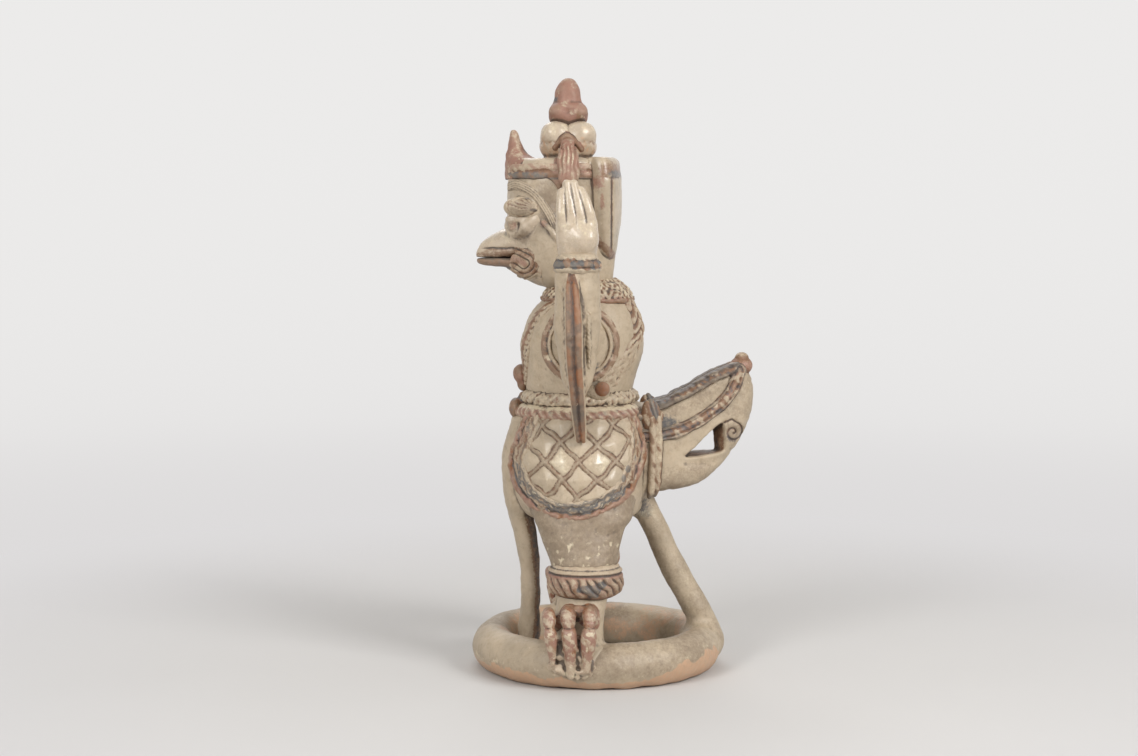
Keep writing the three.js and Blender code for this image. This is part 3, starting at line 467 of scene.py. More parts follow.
    def place(self, node, points, quads, coats, slot):
        mesh = bpy.data.meshes.new(f"{node}_clay")
        mesh.vertices.add(len(points))
        mesh.vertices.foreach_set("co", (points * MM + RING_MIDDLE).astype(np.float32).ravel())
        mesh.loops.add(quads.size)
        mesh.loops.foreach_set("vertex_index", quads.astype(np.int32).ravel())
        mesh.polygons.add(len(quads))
        mesh.polygons.foreach_set("loop_start", np.arange(0, quads.size, 4, dtype=np.int32))
        mesh.update(calc_edges=True)
        mesh.shade_smooth()
        for name, values in coats.items():
            mesh.attributes.new(name, "FLOAT", "POINT").data.foreach_set("value", values)
        piece = bpy.data.objects.new(mesh.name, mesh)
        bpy.context.scene.collection.objects.link(piece)
        mesh.materials.append(finish(slot))
        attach(piece, "root")
        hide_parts(node)


# Finishes


def new_group(name, inputs, outputs):
    """An empty shader group with named sockets, given as pairs of name and default."""
    group = bpy.data.node_groups.new(name, "ShaderNodeTree")
    kinds = {float: "NodeSocketFloat", tuple: "NodeSocketColor"}
    for socket, default in inputs:
        made = group.interface.new_socket(socket, in_out="INPUT", socket_type=kinds[type(default)])
        made.default_value = (*default, 1) if isinstance(default, tuple) else default
    for socket, default in outputs:
        group.interface.new_socket(socket, in_out="OUTPUT", socket_type=kinds[type(default)])
    return Shader(group), group.nodes.new("NodeGroupInput").outputs, group.nodes.new("NodeGroupOutput").inputs


class Shader:
    """Short calls that add nodes to a tree and link them."""

    def __init__(self, tree):
        self.tree = tree

    def set(self, socket, value):
        if isinstance(value, bpy.types.NodeSocket):
            self.tree.links.new(value, socket)
        elif isinstance(value, tuple) and len(value) == 3:
            socket.default_value = (*value, 1)
        else:
            socket.default_value = value

    def math(self, operation, a, b=0.0, clamp=False):
        node = self.tree.nodes.new("ShaderNodeMath")
        node.operation = operation
        node.use_clamp = clamp
        self.set(node.inputs[0], a)
        self.set(node.inputs[1], b)
        return node.outputs[0]

    def mix(self, share, a, b, mode="MIX"):
        node = self.tree.nodes.new("ShaderNodeMix")
        node.data_type = "RGBA"
        node.blend_type = mode
        for socket, value in zip((node.inputs[0], node.inputs[6], node.inputs[7]), (share, a, b)):
            self.set(socket, value)
        return node.outputs[2]

    def span(self, value, low, high, to_low=0.0, to_high=1.0):
        """A value read on a smooth step from low to high."""
        node = self.tree.nodes.new("ShaderNodeMapRange")
        node.interpolation_type = "SMOOTHSTEP"
        for k, number in enumerate((value, low, high, to_low, to_high)):
            self.set(node.inputs[k], number)
        return node.outputs[0]

    def noise(self, per_metre, detail=3.0, roughness=0.55, offset=0.0):
        place = self.tree.nodes.new("ShaderNodeTexCoord").outputs["Object"]
        if offset:
            shift = self.tree.nodes.new("ShaderNodeVectorMath")
            shift.inputs[1].default_value = (offset, offset / 2, -offset)
            self.tree.links.new(place, shift.inputs[0])
            place = shift.outputs[0]
        node = self.tree.nodes.new("ShaderNodeTexNoise")
        self.tree.links.new(place, node.inputs["Vector"])
        node.inputs["Scale"].default_value = per_metre
        node.inputs["Detail"].default_value = detail
        node.inputs["Roughness"].default_value = roughness
        return node.outputs["Fac"]

    def attribute(self, name):
        node = self.tree.nodes.new("ShaderNodeAttribute")
        node.attribute_name = name
        return node.outputs["Fac"]

    def group(self, name, **inputs):
        node = self.tree.nodes.new("ShaderNodeGroup")
        node.node_tree = effect(name)
        for socket, value in inputs.items():
            self.set(node.inputs[socket.replace("_", " ")], value)
        return node.outputs


def mottled_slip():
    """A brushed slip that is thin in places, with smoky clouds."""
    s, given, out = new_group(
        "mottled_slip", [("Slip", (0.5, 0.4, 0.3)), ("Smoke", (0.3, 0.25, 0.2)), ("Amount", 0.5)],
        [("Color", (0.0, 0.0, 0.0))],
    )
    cloud = s.span(s.noise(38, 4), 0.42, 0.72)
    thin = s.span(s.noise(160, 4, 0.65, 3.1), 0.45, 0.75)
    light = s.mix(thin, given["Slip"], (0.86, 0.83, 0.79), "MULTIPLY")
    fleck = s.span(s.noise(430, 3, 0.6, 5.6), 0.5, 0.72, 0.0, 0.6)
    amount = s.math("MULTIPLY", s.math("ADD", cloud, fleck, clamp=True), given["Amount"])
    thick = s.span(s.noise(90, 5, 0.7, 1.9), 0.5, 0.75, 0.0, 0.5)
    brushed = s.mix(thick, light, (1.15, 1.14, 1.12), "MULTIPLY")
    s.set(out["Color"], s.mix(amount, brushed, given["Smoke"]))


def worn_pigment():
    """A pigment laid over a colour, rubbed off in grains and patches."""
    s, given, out = new_group(
        "worn_pigment",
        [("Color", (0.5, 0.4, 0.3)), ("Pigment", (0.2, 0.1, 0.1)), ("Mask", 0.0), ("Wear", 0.5)],
        [("Color", (0.0, 0.0, 0.0))],
    )
    patch = s.math("SUBTRACT", s.noise(190, 4, 0.6, 7.7), 0.5)
    grain = s.math("SUBTRACT", s.noise(640, 3, 0.65, 1.3), 0.5)
    loss = s.math("ADD", s.math("MULTIPLY", patch, 1.5), s.math("MULTIPLY", grain, 1.5))
    left = s.math("SUBTRACT", given["Mask"], s.math("MULTIPLY", loss, given["Wear"]))
    cover = s.math("MULTIPLY", s.span(left, 0.18, 0.72), s.span(given["Mask"], 0.02, 0.2))
    shade = s.mix(s.span(s.noise(420, 3, 0.6, 5.0), 0.38, 0.7, 0.0, 0.32), given["Pigment"], given["Color"])
    s.set(out["Color"], s.mix(cover, given["Color"], shade))


def kiln_dirt():
    """Painted shade and a dark deposit in crevices, and bare rubbed edges."""
    s, given, out = new_group(
        "kiln_dirt",
        [("Color", (0.5, 0.4, 0.3)), ("Dirt", (0.1, 0.1, 0.1)), ("Edge", (0.6, 0.5, 0.4)), ("Cavity", 0.0)],
        [("Color", (0.0, 0.0, 0.0))],
    )
    grain = s.math("MULTIPLY", s.math("SUBTRACT", s.noise(500, 3, 0.6, 9.0), 0.5), 0.16)
    # Hollows take the dark colour as painted shade with some grime; proud edges are rubbed pale.
    hollow = s.span(s.math("ADD", given["Cavity"], grain), 0.03, 0.24, 0.0, 0.84)
    proud = s.span(s.math("SUBTRACT", grain, given["Cavity"]), 0.06, 0.3, 0.0, 0.22)
    rubbed = s.mix(proud, given["Color"], given["Edge"])
    s.set(out["Color"], s.mix(hollow, rubbed, given["Dirt"]))


def lime_specks():
    """Scattered white flecks of lime and old wash."""
    s, given, out = new_group(
        "lime_specks", [("Color", (0.5, 0.4, 0.3)), ("Lime", (0.7, 0.6, 0.5)), ("Amount", 0.5)],
        [("Color", (0.0, 0.0, 0.0))],
    )
    speck = s.span(s.noise(420, 2, 0.5, 4.4), 0.66, 0.74)
    zone = s.span(s.noise(45, 2, 0.5, 2.2), 0.45, 0.65)
    amount = s.math("MULTIPLY", s.math("MULTIPLY", speck, zone), given["Amount"])
    s.set(out["Color"], s.mix(amount, given["Color"], given["Lime"]))


def clay_grain():
    """The height of a hand-smoothed and fired skin."""
    s, given, out = new_group("clay_grain", [("Coarse", 1.0)], [("Height", 0.0)])
    drag = s.math("MULTIPLY", s.noise(240, 4, 0.6, 6.0), given["Coarse"])
    pits = s.math("MULTIPLY", s.noise(1500, 2, 0.5, 8.0), 0.25)
    s.set(out["Height"], s.math("ADD", drag, pits))


EFFECTS = {f.__name__: f for f in (mottled_slip, worn_pigment, kiln_dirt, lime_specks, clay_grain)}


def effect(name):
    if name not in bpy.data.node_groups:
        EFFECTS[name]()
    return bpy.data.node_groups[name]


SLIPS = {  # slot: its colour, smoke from the kiln, roughness, wear of the pigments on it
    "pale_slip": ("pale", 0.5, 0.5, 0.8),
    "ochre_glaze": ("ochre", 0.35, 0.42, 0.9),
    "umber_slip": ("umber", 0.35, 0.52, 0.8),
    "red_slip": ("red", 0.4, 0.52, 0.8),
    "ash_slip": ("ash", 0.3, 0.52, 0.9),
}


def finish(slot):
    """The material of a slip, with pigments where they were brushed on."""
    name = f"fired_{slot}"
    if name in bpy.data.materials:
        return bpy.data.materials[name]
    colours = bpy.context.scene.garuda_colours
    base, smoke, roughness, wear = SLIPS[slot]
    material = bpy.data.materials.new(name)
    material.use_nodes = True
    s = Shader(material.node_tree)
    skin = material.node_tree.nodes["Principled BSDF"]
    look = {key: tuple(getattr(colours, key)) for key in colours.__annotations__}
    smoky = tuple(0.6 * c for c in look[base])
    shade = s.group("mottled_slip", Slip=look[base], Smoke=smoky, Amount=smoke)["Color"]
    for pigment in ("smoke", "pale", "bare", "red", "umber", "rust", "ash", "soot", "lime"):
        shade = s.group(
            "worn_pigment", Color=shade, Pigment=look[pigment], Mask=s.attribute(pigment),
            Wear=STAIN_AND_SHADE_WEAR if pigment in ("smoke", "soot") else wear,
        )["Color"]
    shade = s.group("lime_specks", Color=shade, Lime=look["lime"], Amount=0.55)["Color"]
    # Crevices darkened with painted shade and grime, edges rubbed pale.
    shade = s.group(
        "kiln_dirt", Color=shade, Dirt=look["dirt"], Edge=look["pale"], Cavity=s.attribute("cavity")
    )["Color"]
    s.set(skin.inputs["Base Color"], shade)
    uneven = s.math("ADD", s.math("MULTIPLY", s.noise(120, 3), 0.24), roughness - 0.12)
    s.set(skin.inputs["Roughness"], s.math("SUBTRACT", uneven, s.math("MULTIPLY", s.attribute("gloss"), 0.2)))
    s.set(skin.inputs["Coat Weight"], s.math("MULTIPLY", s.attribute("gloss"), 0.6))
    skin.inputs["Coat Roughness"].default_value = 0.2
    relief = material.node_tree.nodes.new("ShaderNodeBump")
    relief.inputs["Strength"].default_value = 0.55
    relief.inputs["Distance"].default_value = 0.0009
    s.set(relief.inputs["Height"], s.group("clay_grain", Coarse=1.0)["Height"])
    s.set(skin.inputs["Normal"], relief.outputs["Normal"])
    return material


# Forms that more than one member needs


def ring_form(clay):
    spread = np.hypot(clay.x, clay.y) - RING_RADIUS
    up = clay.z - COIL_HEIGHT
    share = np.hypot(spread / COIL_HALVES[0], up / COIL_HALVES[1]) + 1e-3
    return crease(np.hypot(spread, up) * (1 - 1 / share), -clay.z, 2.0)


def hips_form(clay):
    return clay.evened(clay.ovals(HIPS, ends=9))


def torso_form(clay):
    return clay.evened(clay.ovals(TORSO))


def head_form(clay):
    neck = clay.coil([(0, -9.5, 250), (0, -9.5, 262), (0, -10, 276)], [21.5, 20, 20])
    return blend(clay.ovals(HEAD, ends=4.5), neck, 6)


def piercing_form(clay):
    """The hole through the plume, which narrows from both faces to the middle."""
    corner_y, corner_z = TAIL_PIERCING[0]
    share = 1 - 0.26 * np.clip(1 - np.abs(clay.x) / 14, 0, 1)
    y = corner_y + (clay.y - corner_y) / share
    z = corner_z + (clay.z - corner_z) / share
    return share * in_outline(y, z, TAIL_PIERCING)


def tail_form(clay, hole=True):
    """The plume, with or without the hole through it."""
    sides = np.abs(clay.x) - smooth_rows(TAIL_HALF, 1, clay.y)
    plume = crease(sides, in_outline(clay.y, clay.z, TAIL_OUTLINE), 11)
    if hole:
        plume = crease(plume, -piercing_form(clay), 1.6)
    return plume


def thigh_form(clay):
    return clay.ovals(THIGH)


def shin_form(clay):
    return clay.ovals(SHIN)


def forearm_form(clay):
    upper = clay.coil([(30, -11.5, 232), (44, -12, 228), (54, -13, 214), (60, -13.5, 203)], [15, 13.5, 11, 8])
    return blend(clay.ovals(FOREARM), upper, 7)


MOUTH = [(-84, 279.6), (-68, 279.4), (-56, 279.2), (-48.7, 275.8)]  # Y and height along its slit


def lip_folds(clay):
    """Distance from the line of the mouth, round which the lips lie in folds."""
    return to_line(clay.y, clay.z, smooth_line(MOUTH, 5)) + clay.lumps(8, 0.15, 3)


def topknot_form(clay):
    bun = clay.ball((0, KNOT_Y, 354.6), (18.8, 19.4, 12.8))
    lobes = [
        clay.ball((9 * side, KNOT_Y + 8.2 * way, 362.2), (9.4, 10.4, 8.6))
        for side in (-1, 1) for way in (-1, 1)
    ]
    near, far = blend(lobes[0], lobes[1], 5), blend(lobes[2], lobes[3], 5)
    return blend(bun, blend(near, far, 5), 5)


class ClayOperator:
    """What the operators share."""

    bl_options = {"REGISTER", "UNDO"}

    def execute(self, context):
        self.model(context.scene.garuda_sizes)
        return {"FINISHED"}


class GARUDA_OT_base_ring(ClayOperator, bpy.types.Operator):
    """Rolls the coil ring that the figure stands on"""

    bl_idname = "garuda.base_ring"
    bl_label = "Base ring"

    SHORE = [  # angle round the ring, and how high the bare clay reaches there
        (-3.15, 8), (-1.3, 8), (-0.7, 10.5), (-0.1, 5.5), (0.35, 7), (0.7, 13), (1.05, 18), (1.5, 12),
        (3.15, 8),
    ]

    def model(self, sizes):
        clay = Clay((-88, -88, -3), (88, 88, 33), 0.95)
        field = ring_form(clay)
        angle = np.arctan2(clay.y, clay.x)
        wander = clay.lumps(16, 1.1, 2) + clay.lumps(5, 0.5, 6)
        shore = smooth_rows(self.SHORE, 1, angle) + wander
        outside = step(-4, 2, np.hypot(clay.x, clay.y) - RING_RADIUS)
        clay.paint("bare", step(shore + 0.8, shore - 0.8, clay.z) * outside)
        clay.paint("lime", 0.5 * bump(clay.z - shore - 2, 1.2) * outside * step(0, 0.8, wander))
        # Inside of the ring brushed with bare clay: browner, and brighter as painted light standing in for
        # bounced light.
        clay.paint("bare", 0.55 * (1 - outside) * step(-0.6, 0.6, clay.lumps(24, 0.6, 8)))
        clay.paint("smoke", 0.5 * step(-1.2, 0.6, clay.lumps(60, 0.7, 9)) * step(2, 12, clay.z))
        clay.paint("smoke", 0.55 * bump(angle - 0.9, 0.5) * step(6, 14, clay.z))
        clay.fire("base_ring", np.maximum(field, -clay.z), "pale_slip", uneven=0.7, seed=3)


class GARUDA_OT_legs(ClayOperator, bpy.types.Operator):
    """Models the thighs and shins"""

    bl_idname = "garuda.legs"
    bl_label = "Legs"

    def model(self, sizes):
        clay = Clay((14, -50, 52), (72, 32, 128), 0.85)
        thigh = luted(thigh_form(clay), hips_form(clay), sizes.lute)
        # Thighs darkened all over with smoke: painted shade from the hips above, with some grey dirt.
        clay.paint("smoke", 0.8 + 0.15 * clay.lumps(20, 0.8, 9))
        clay.paint("lime", 0.75 * step(112, 84, clay.z) * step(0.5, 1.1, clay.lumps(5, 0.6, 4)))
        clay.fire_pair("thigh", thigh, "pale_slip", seed=11)
        clay = Clay((36, -34, 15), (88, 12, 66), 0.8)
        clay.fire_pair("shin", luted(shin_form(clay), ring_form(clay), 4), "pale_slip", seed=12)


class GARUDA_OT_garters(ClayOperator, bpy.types.Operator):
    """Presses the fringed bands on below the knees"""

    bl_idname = "garuda.garters"
    bl_label = "Knee garters"

    def model(self, sizes):
        clay = Clay((24, -38, 52), (80, 22, 83), 0.6)
        field = clay.ovals(GARTER, ends=2.5)
        middle_x, middle_y, radius = 52, -8, 24
        round_band = radius * np.arctan2(clay.y - middle_y, clay.x - middle_x)
        sway = clay.lumps(14, 0.6, 9)
        slant = 0.45 + 0.7 * step(-4, 5, round_band)
        along = (round_band + slant * (clay.z - 66) + sway) / sizes.fringe_pitch
        stroke = 0.5 + 0.5 * np.cos(2 * math.pi * along)
        fringe = step(58, 60.5, clay.z) * step(73.2, 71, clay.z + 0.5 * sway)
        field = field + fringe * (1 - stroke) ** 2 - 0.5 * bump(clay.z - 60, 2.2)
        field = field + 0.9 * bump(clay.z - 73.8, 0.8) - 0.6 * bump(clay.z - 75.4, 0.8)
        field = field + 0.7 * bump(clay.z - 77, 0.6)
        batch = bump(round_band - 4, 9) + 0.5 * sway
        ground = fringe * step(0.62, 0.35, stroke)
        clay.paint("umber", 0.55 * ground + 0.5 * step(60.5, 58, clay.z))
        clay.paint("rust", 0.6 * fringe * step(0.3, 0.8, stroke) * step(-0.3, 0.6, sway))
        grey = np.maximum(0.8 * step(0.4, 0.9, batch), 0.3 * ground)
        clay.paint("ash", fringe * grey * step(-1, 0.4, sway))
        clay.paint("lime", 0.35 * fringe * step(0.8, 0.98, stroke) * step(0, 0.8, clay.lumps(7, 0.6, 6)))
        clay.paint("soot", 0.8 * bump(clay.z - 73.8, 1.0) + 0.7 * bump(clay.z - 77.2, 0.6))
        # The pale on the fringe is partly painted light, brightening the bands where little light comes from
        # below.
        clay.paint("pale", np.maximum(0.95 * step(74.2, 75, clay.z), 0.52 * fringe))
        clay.fire_pair("garter", field, "red_slip", around=[thigh_form(clay), shin_form(clay)], seed=21)


class GARUDA_OT_feet(ClayOperator, bpy.types.Operator):
    """Models the claws that grip the ring"""

    bl_idname = "garuda.feet"
    bl_label = "Feet"

    TOES = [  # Y of its knuckle and tip, height of its tip, size
        (-32.4, -29.5, 19.5, 0.94), (-19.8, -18, 11.5, 1.08), (-5.4, -7.6, 15, 1.06),
    ]
    PROFILE = [  # X, height, radius, and how far along towards the tip
        (69, 48.5, 4, 0), (76.5, 50.4, 4.7, 0.1), (82.6, 48.2, 4.8, 0.2), (85.4, 42.4, 3.7, 0.35),
        (86.6, 38, 4.6, 0.5), (87, 31, 4.3, 0.7), (86.4, None, 2.3, 1),
    ]

    def model(self, sizes):
        clay = Clay((56, -42, 5), (98, 8, 60), 0.5)
        shin, ring = shin_form(clay), ring_form(clay)
        whole = clay.coil(
            [(72, -29, 42), (73, -20, 48), (75.5, -12, 51.5), (72, -5, 44)], [4.4, 4.6, 3.6, 4.4],
        )
        nails = np.float32(FAR)
        for knuckle, tip, low, size in self.TOES:
            path = [
                (x, knuckle + (tip - knuckle) * share, low if z is None else z)
                for x, z, _, share in self.PROFILE
            ]
            toe = clay.coil(path, [size * radius for _, _, radius, _ in self.PROFILE])
            whole = blend(whole, toe, 1.4)
            off = clay.y - knuckle
            crack = bump(clay.z - 42.6 - 0.12 * off ** 2 / 4, 0.7) * bump(off, 4.5)
            whole = whole + 0.9 * crack * step(80, 84, clay.x)
            nail = np.hypot((clay.y - knuckle - 0.3 * (tip - knuckle) - 0.6) / 3.2, (clay.z - 39.6) / 1.5)
            nails = np.minimum(nails, nail + (0 if knuckle > -10 else 0.45))
        crust = clay.lumps(5, 0.9, 7)
        shore = clay.coil([(83, -30, 17), (84.5, -22, 14), (84.5, -13, 13), (83, -6, 16)], [2.6, 3, 3, 2.6])
        shore = blend(shore, clay.ball((80.4, -18, 25), (6.8, 13, 12)), 3)
        whole = blend(whole, shore + 0.5 * crust, 1.2)
        clay.paint("lime", 0.95 * step(1.15, 0.75, nails) * step(84, 87, clay.x))
        clay.paint("umber", 0.8 * step(48, 51.5, clay.z) * step(85, 79, clay.x))
        wrinkle = np.cos(2 * math.pi * (clay.z + 0.5 * np.abs(clay.y + 19) + 1.5 * crust) / 3.4)
        whole = whole + 0.25 * step(0.3, 0.9, wrinkle) * step(40, 44, clay.z)
        clay.paint("rust", 0.55 * step(0, 0.8, clay.lumps(9, 0.6, 3)) * step(22, 30, clay.z))
        clay.paint("pale", 0.6 * step(0.4, 0.95, -wrinkle) * step(40, 44, clay.z))
        clay.paint("lime", 0.4 * step(0.4, 1, crust) * step(44, 36, clay.z))
        # Pale patches on the toes, partly painted light that brightens them where little light comes from
        # below.
        clay.paint("pale", 0.66 * step(-0.8, 0.8, clay.lumps(5, 0.6, 12)))
        clay.paint("pale", np.maximum(0.85 * step(1.2, -0.4, shore), 0.7 * step(27, 15, clay.z + 3 * crust)))
        clay.paint("gloss", 0.25 * np.ones_like(clay.z))
        host = np.minimum(shin, ring)
        clay.fire_pair("foot", luted(whole, host, 2.2), "red_slip", around=[host], uneven=0.9, seed=31)


class GARUDA_OT_hips(ClayOperator, bpy.types.Operator):
    """Models the hips and presses on the netted side panels with their borders"""

    bl_idname = "garuda.hips"
    bl_label = "Hips"

    NET_MIDDLE = (-12.2, 146.8)  # Y and height
    # The lime on these two diamonds is partly a whiter glaze and partly a painted highlight.
    SHINE_AND_HIGHLIGHT_SPOTS = [(-25.9, 147), (4.6, 145.5)]  # Y and height of the two diamonds that shine most

    def model(self, sizes):
        clay = Clay((-65, -64, 96), (65, 40, 192), 1.0)
        clay.fire("hips", hips_form(clay), "pale_slip", seed=41)
        clay = Clay((20, -68, 104), (70, 42, 190), 0.6)
        host = hips_form(clay)
        outline = in_outline(clay.y, clay.z, HIP_PANEL)
        inside = np.maximum(outline, 23.5 - clay.x)
        top = clay.z - 176
        self.panel(clay, host, inside, top, sizes)
        self.border(host, inside, top, sizes)

    def panel(self, clay, host, inside, top, sizes):
        middle_y, middle_z = self.NET_MIDDLE
        girth = 47  # radius of the hips that the net is wrapped round
        across = girth * np.arcsin(np.clip((clay.y - middle_y) / girth, -0.99, 0.99)) / sizes.net_width
        up = (clay.z - middle_z) / sizes.net_height
        spacing = 1 / math.hypot(1 / sizes.net_width, 1 / sizes.net_height)

        def strand(own, other, start):
            """Distance from the nearest strand that runs one way, laid by hand."""
            wave = own + 0.03 * np.sin(2 * math.pi * other + start)
            wave = wave + 0.045 * np.sin(2.3 * other + own + start)
            wave = wave + clay.lumps(17, 0.03, 16)
            return np.abs((wave + 0.5) % 1 - 0.5) * spacing

        net = np.minimum(strand(across + up, across - up, 0.4), strand(across - up, across + up, 2.0))
        width = sizes.net_strand
        rise = 1.9 + 1.5 * (1 - bump(net, 6)) + 0.9 * bump(net, width + 0.2) - 0.3 * bump(net, 0.5)
        rise = rise - 0.85 * bump(net - width - 0.1, 0.6)
        drift = clay.lumps(11, 0.5, 4)
        lines = bump(net - width, 0.6) + 0.55 * bump(net, 0.5)
        wash = clay.lumps(19, 0.6, 7)
        clay.paint("smoke", 0.66 * step(width + 0.6, width - 0.6, net) + 0.12 * step(0, 0.9, wash))
        clay.paint("red", 0.22 * step(0.1, 0.9, wash) * step(-20, -34, clay.y) * step(150, 160, clay.z))
        clay.paint("umber", 0.7 * lines)
        clay.paint("soot", 0.46 * lines * step(-0.7, 0.5, drift))
        shine_and_highlight = [bump(np.hypot(clay.y - y, clay.z - z), 9) for y, z in self.SHINE_AND_HIGHLIGHT_SPOTS]
        clay.paint("gloss", step(2.4, 4.5, net) * (0.3 + 0.8 * np.maximum.reduce(shine_and_highlight)))
        # Painted highlight, partly a whiter glaze: lime on the two shiniest diamonds.
        clay.paint("lime", 0.62 * step(1.8, 3.5, net) * np.maximum.reduce(shine_and_highlight))
        clay.paint("lime", 0.3 * step(3, 8, net) * step(-0.4, 0.6, clay.lumps(23, 0.5, 6)))
        panel = pressed(host, rise, np.maximum(inside + sizes.border_width - 1.5, top))
        clay.fire_pair("hip_panel", panel, "pale_slip", around=[host], uneven=0.5, seed=42)

    def border(self, host, inside, top, sizes):
        clay = Clay((20, -68, 104), (70, 42, 190), 0.6)
        turn = np.arctan2(clay.z - 150, clay.y + 12)
        depth = -inside + clay.lumps(8, 0.55, 14)
        crimp = 0.5 + 0.5 * np.cos(60 * turn + 2 * np.sin(7 * turn))
        rough = clay.lumps(6, 0.6, 13)
        rise = 2.6 + 1.2 * bump(depth - 2.2, 2.2) - 0.6 * bump(depth - 4.8, 0.9)
        rise = rise - 0.4 * crimp * bump(depth - 1.6, 1.6)
        rise = rise + 0.5 * bump(depth - 10.6, 0.9) - 0.4 * bump(depth - 8.6, 0.7) + 0.3 * rough
        low = np.clip(step(0.4, 0.8, -np.sin(turn)) + 0.9 * bump(turn + 2.75, 0.3), 0, 1)
        patch = clay.lumps(7, 0.6, 15)
        streak = np.sin(2.2 * depth + 1.3 * rough + 3 * np.sin(3 * turn))
        tuft = np.minimum(
            np.hypot((clay.y - 20) / 1.8, (clay.z - 141.3) / 2.6),
            np.hypot((clay.y - 17) / 1.6, (clay.z - 135.5) / 2.6),
        )
        plain = (1 - low) * (0.5 + 0.25 * patch + 0.12 * streak)
        clay.paint("pale", plain + 0.4 * step(11, 12, depth) + 0.6 * low * step(4, 5.5, depth))
        clay.paint("soot", 0.6 * bump(depth - 10.4, 0.8) + 0.4 * bump(depth - 4.8, 0.8) * (1 - low))
        clay.paint("red", 0.9 * step(4.4, 3.2, depth + rough) * step(-1.2, 0, patch))
        clay.paint("red", 0.62 * (1 - low) * step(-0.5, 0.7, patch - 0.15 * streak) * step(10, 6, depth))
        clay.paint("rust", 0.7 * step(4.2, 3, depth + rough) * step(-0.3, 0.5, -patch))
        inner = low * step(3.4, 4.8, depth) * step(14, 11, depth)
        clay.paint("ash", inner * (0.68 + 0.42 * streak - 0.35 * patch))
        clay.paint("ash", 0.95 * step(1.2, 0.7, tuft) + 0.5 * step(0.5, 1.2, patch) * (1 - low))
        fleck = (0.15 + 0.4 * low) * step(0.3, 1, streak) * step(-0.4, 0.5, -patch)
        clay.paint("lime", fleck * step(4, 6, depth))
        band = np.maximum(np.maximum(inside, -(inside + sizes.border_width)), top)
        field = pressed(host, rise, band, 1.6)
        clay.fire_pair("hip_border", field, "umber_slip", around=[host], uneven=0.6, seed=43)


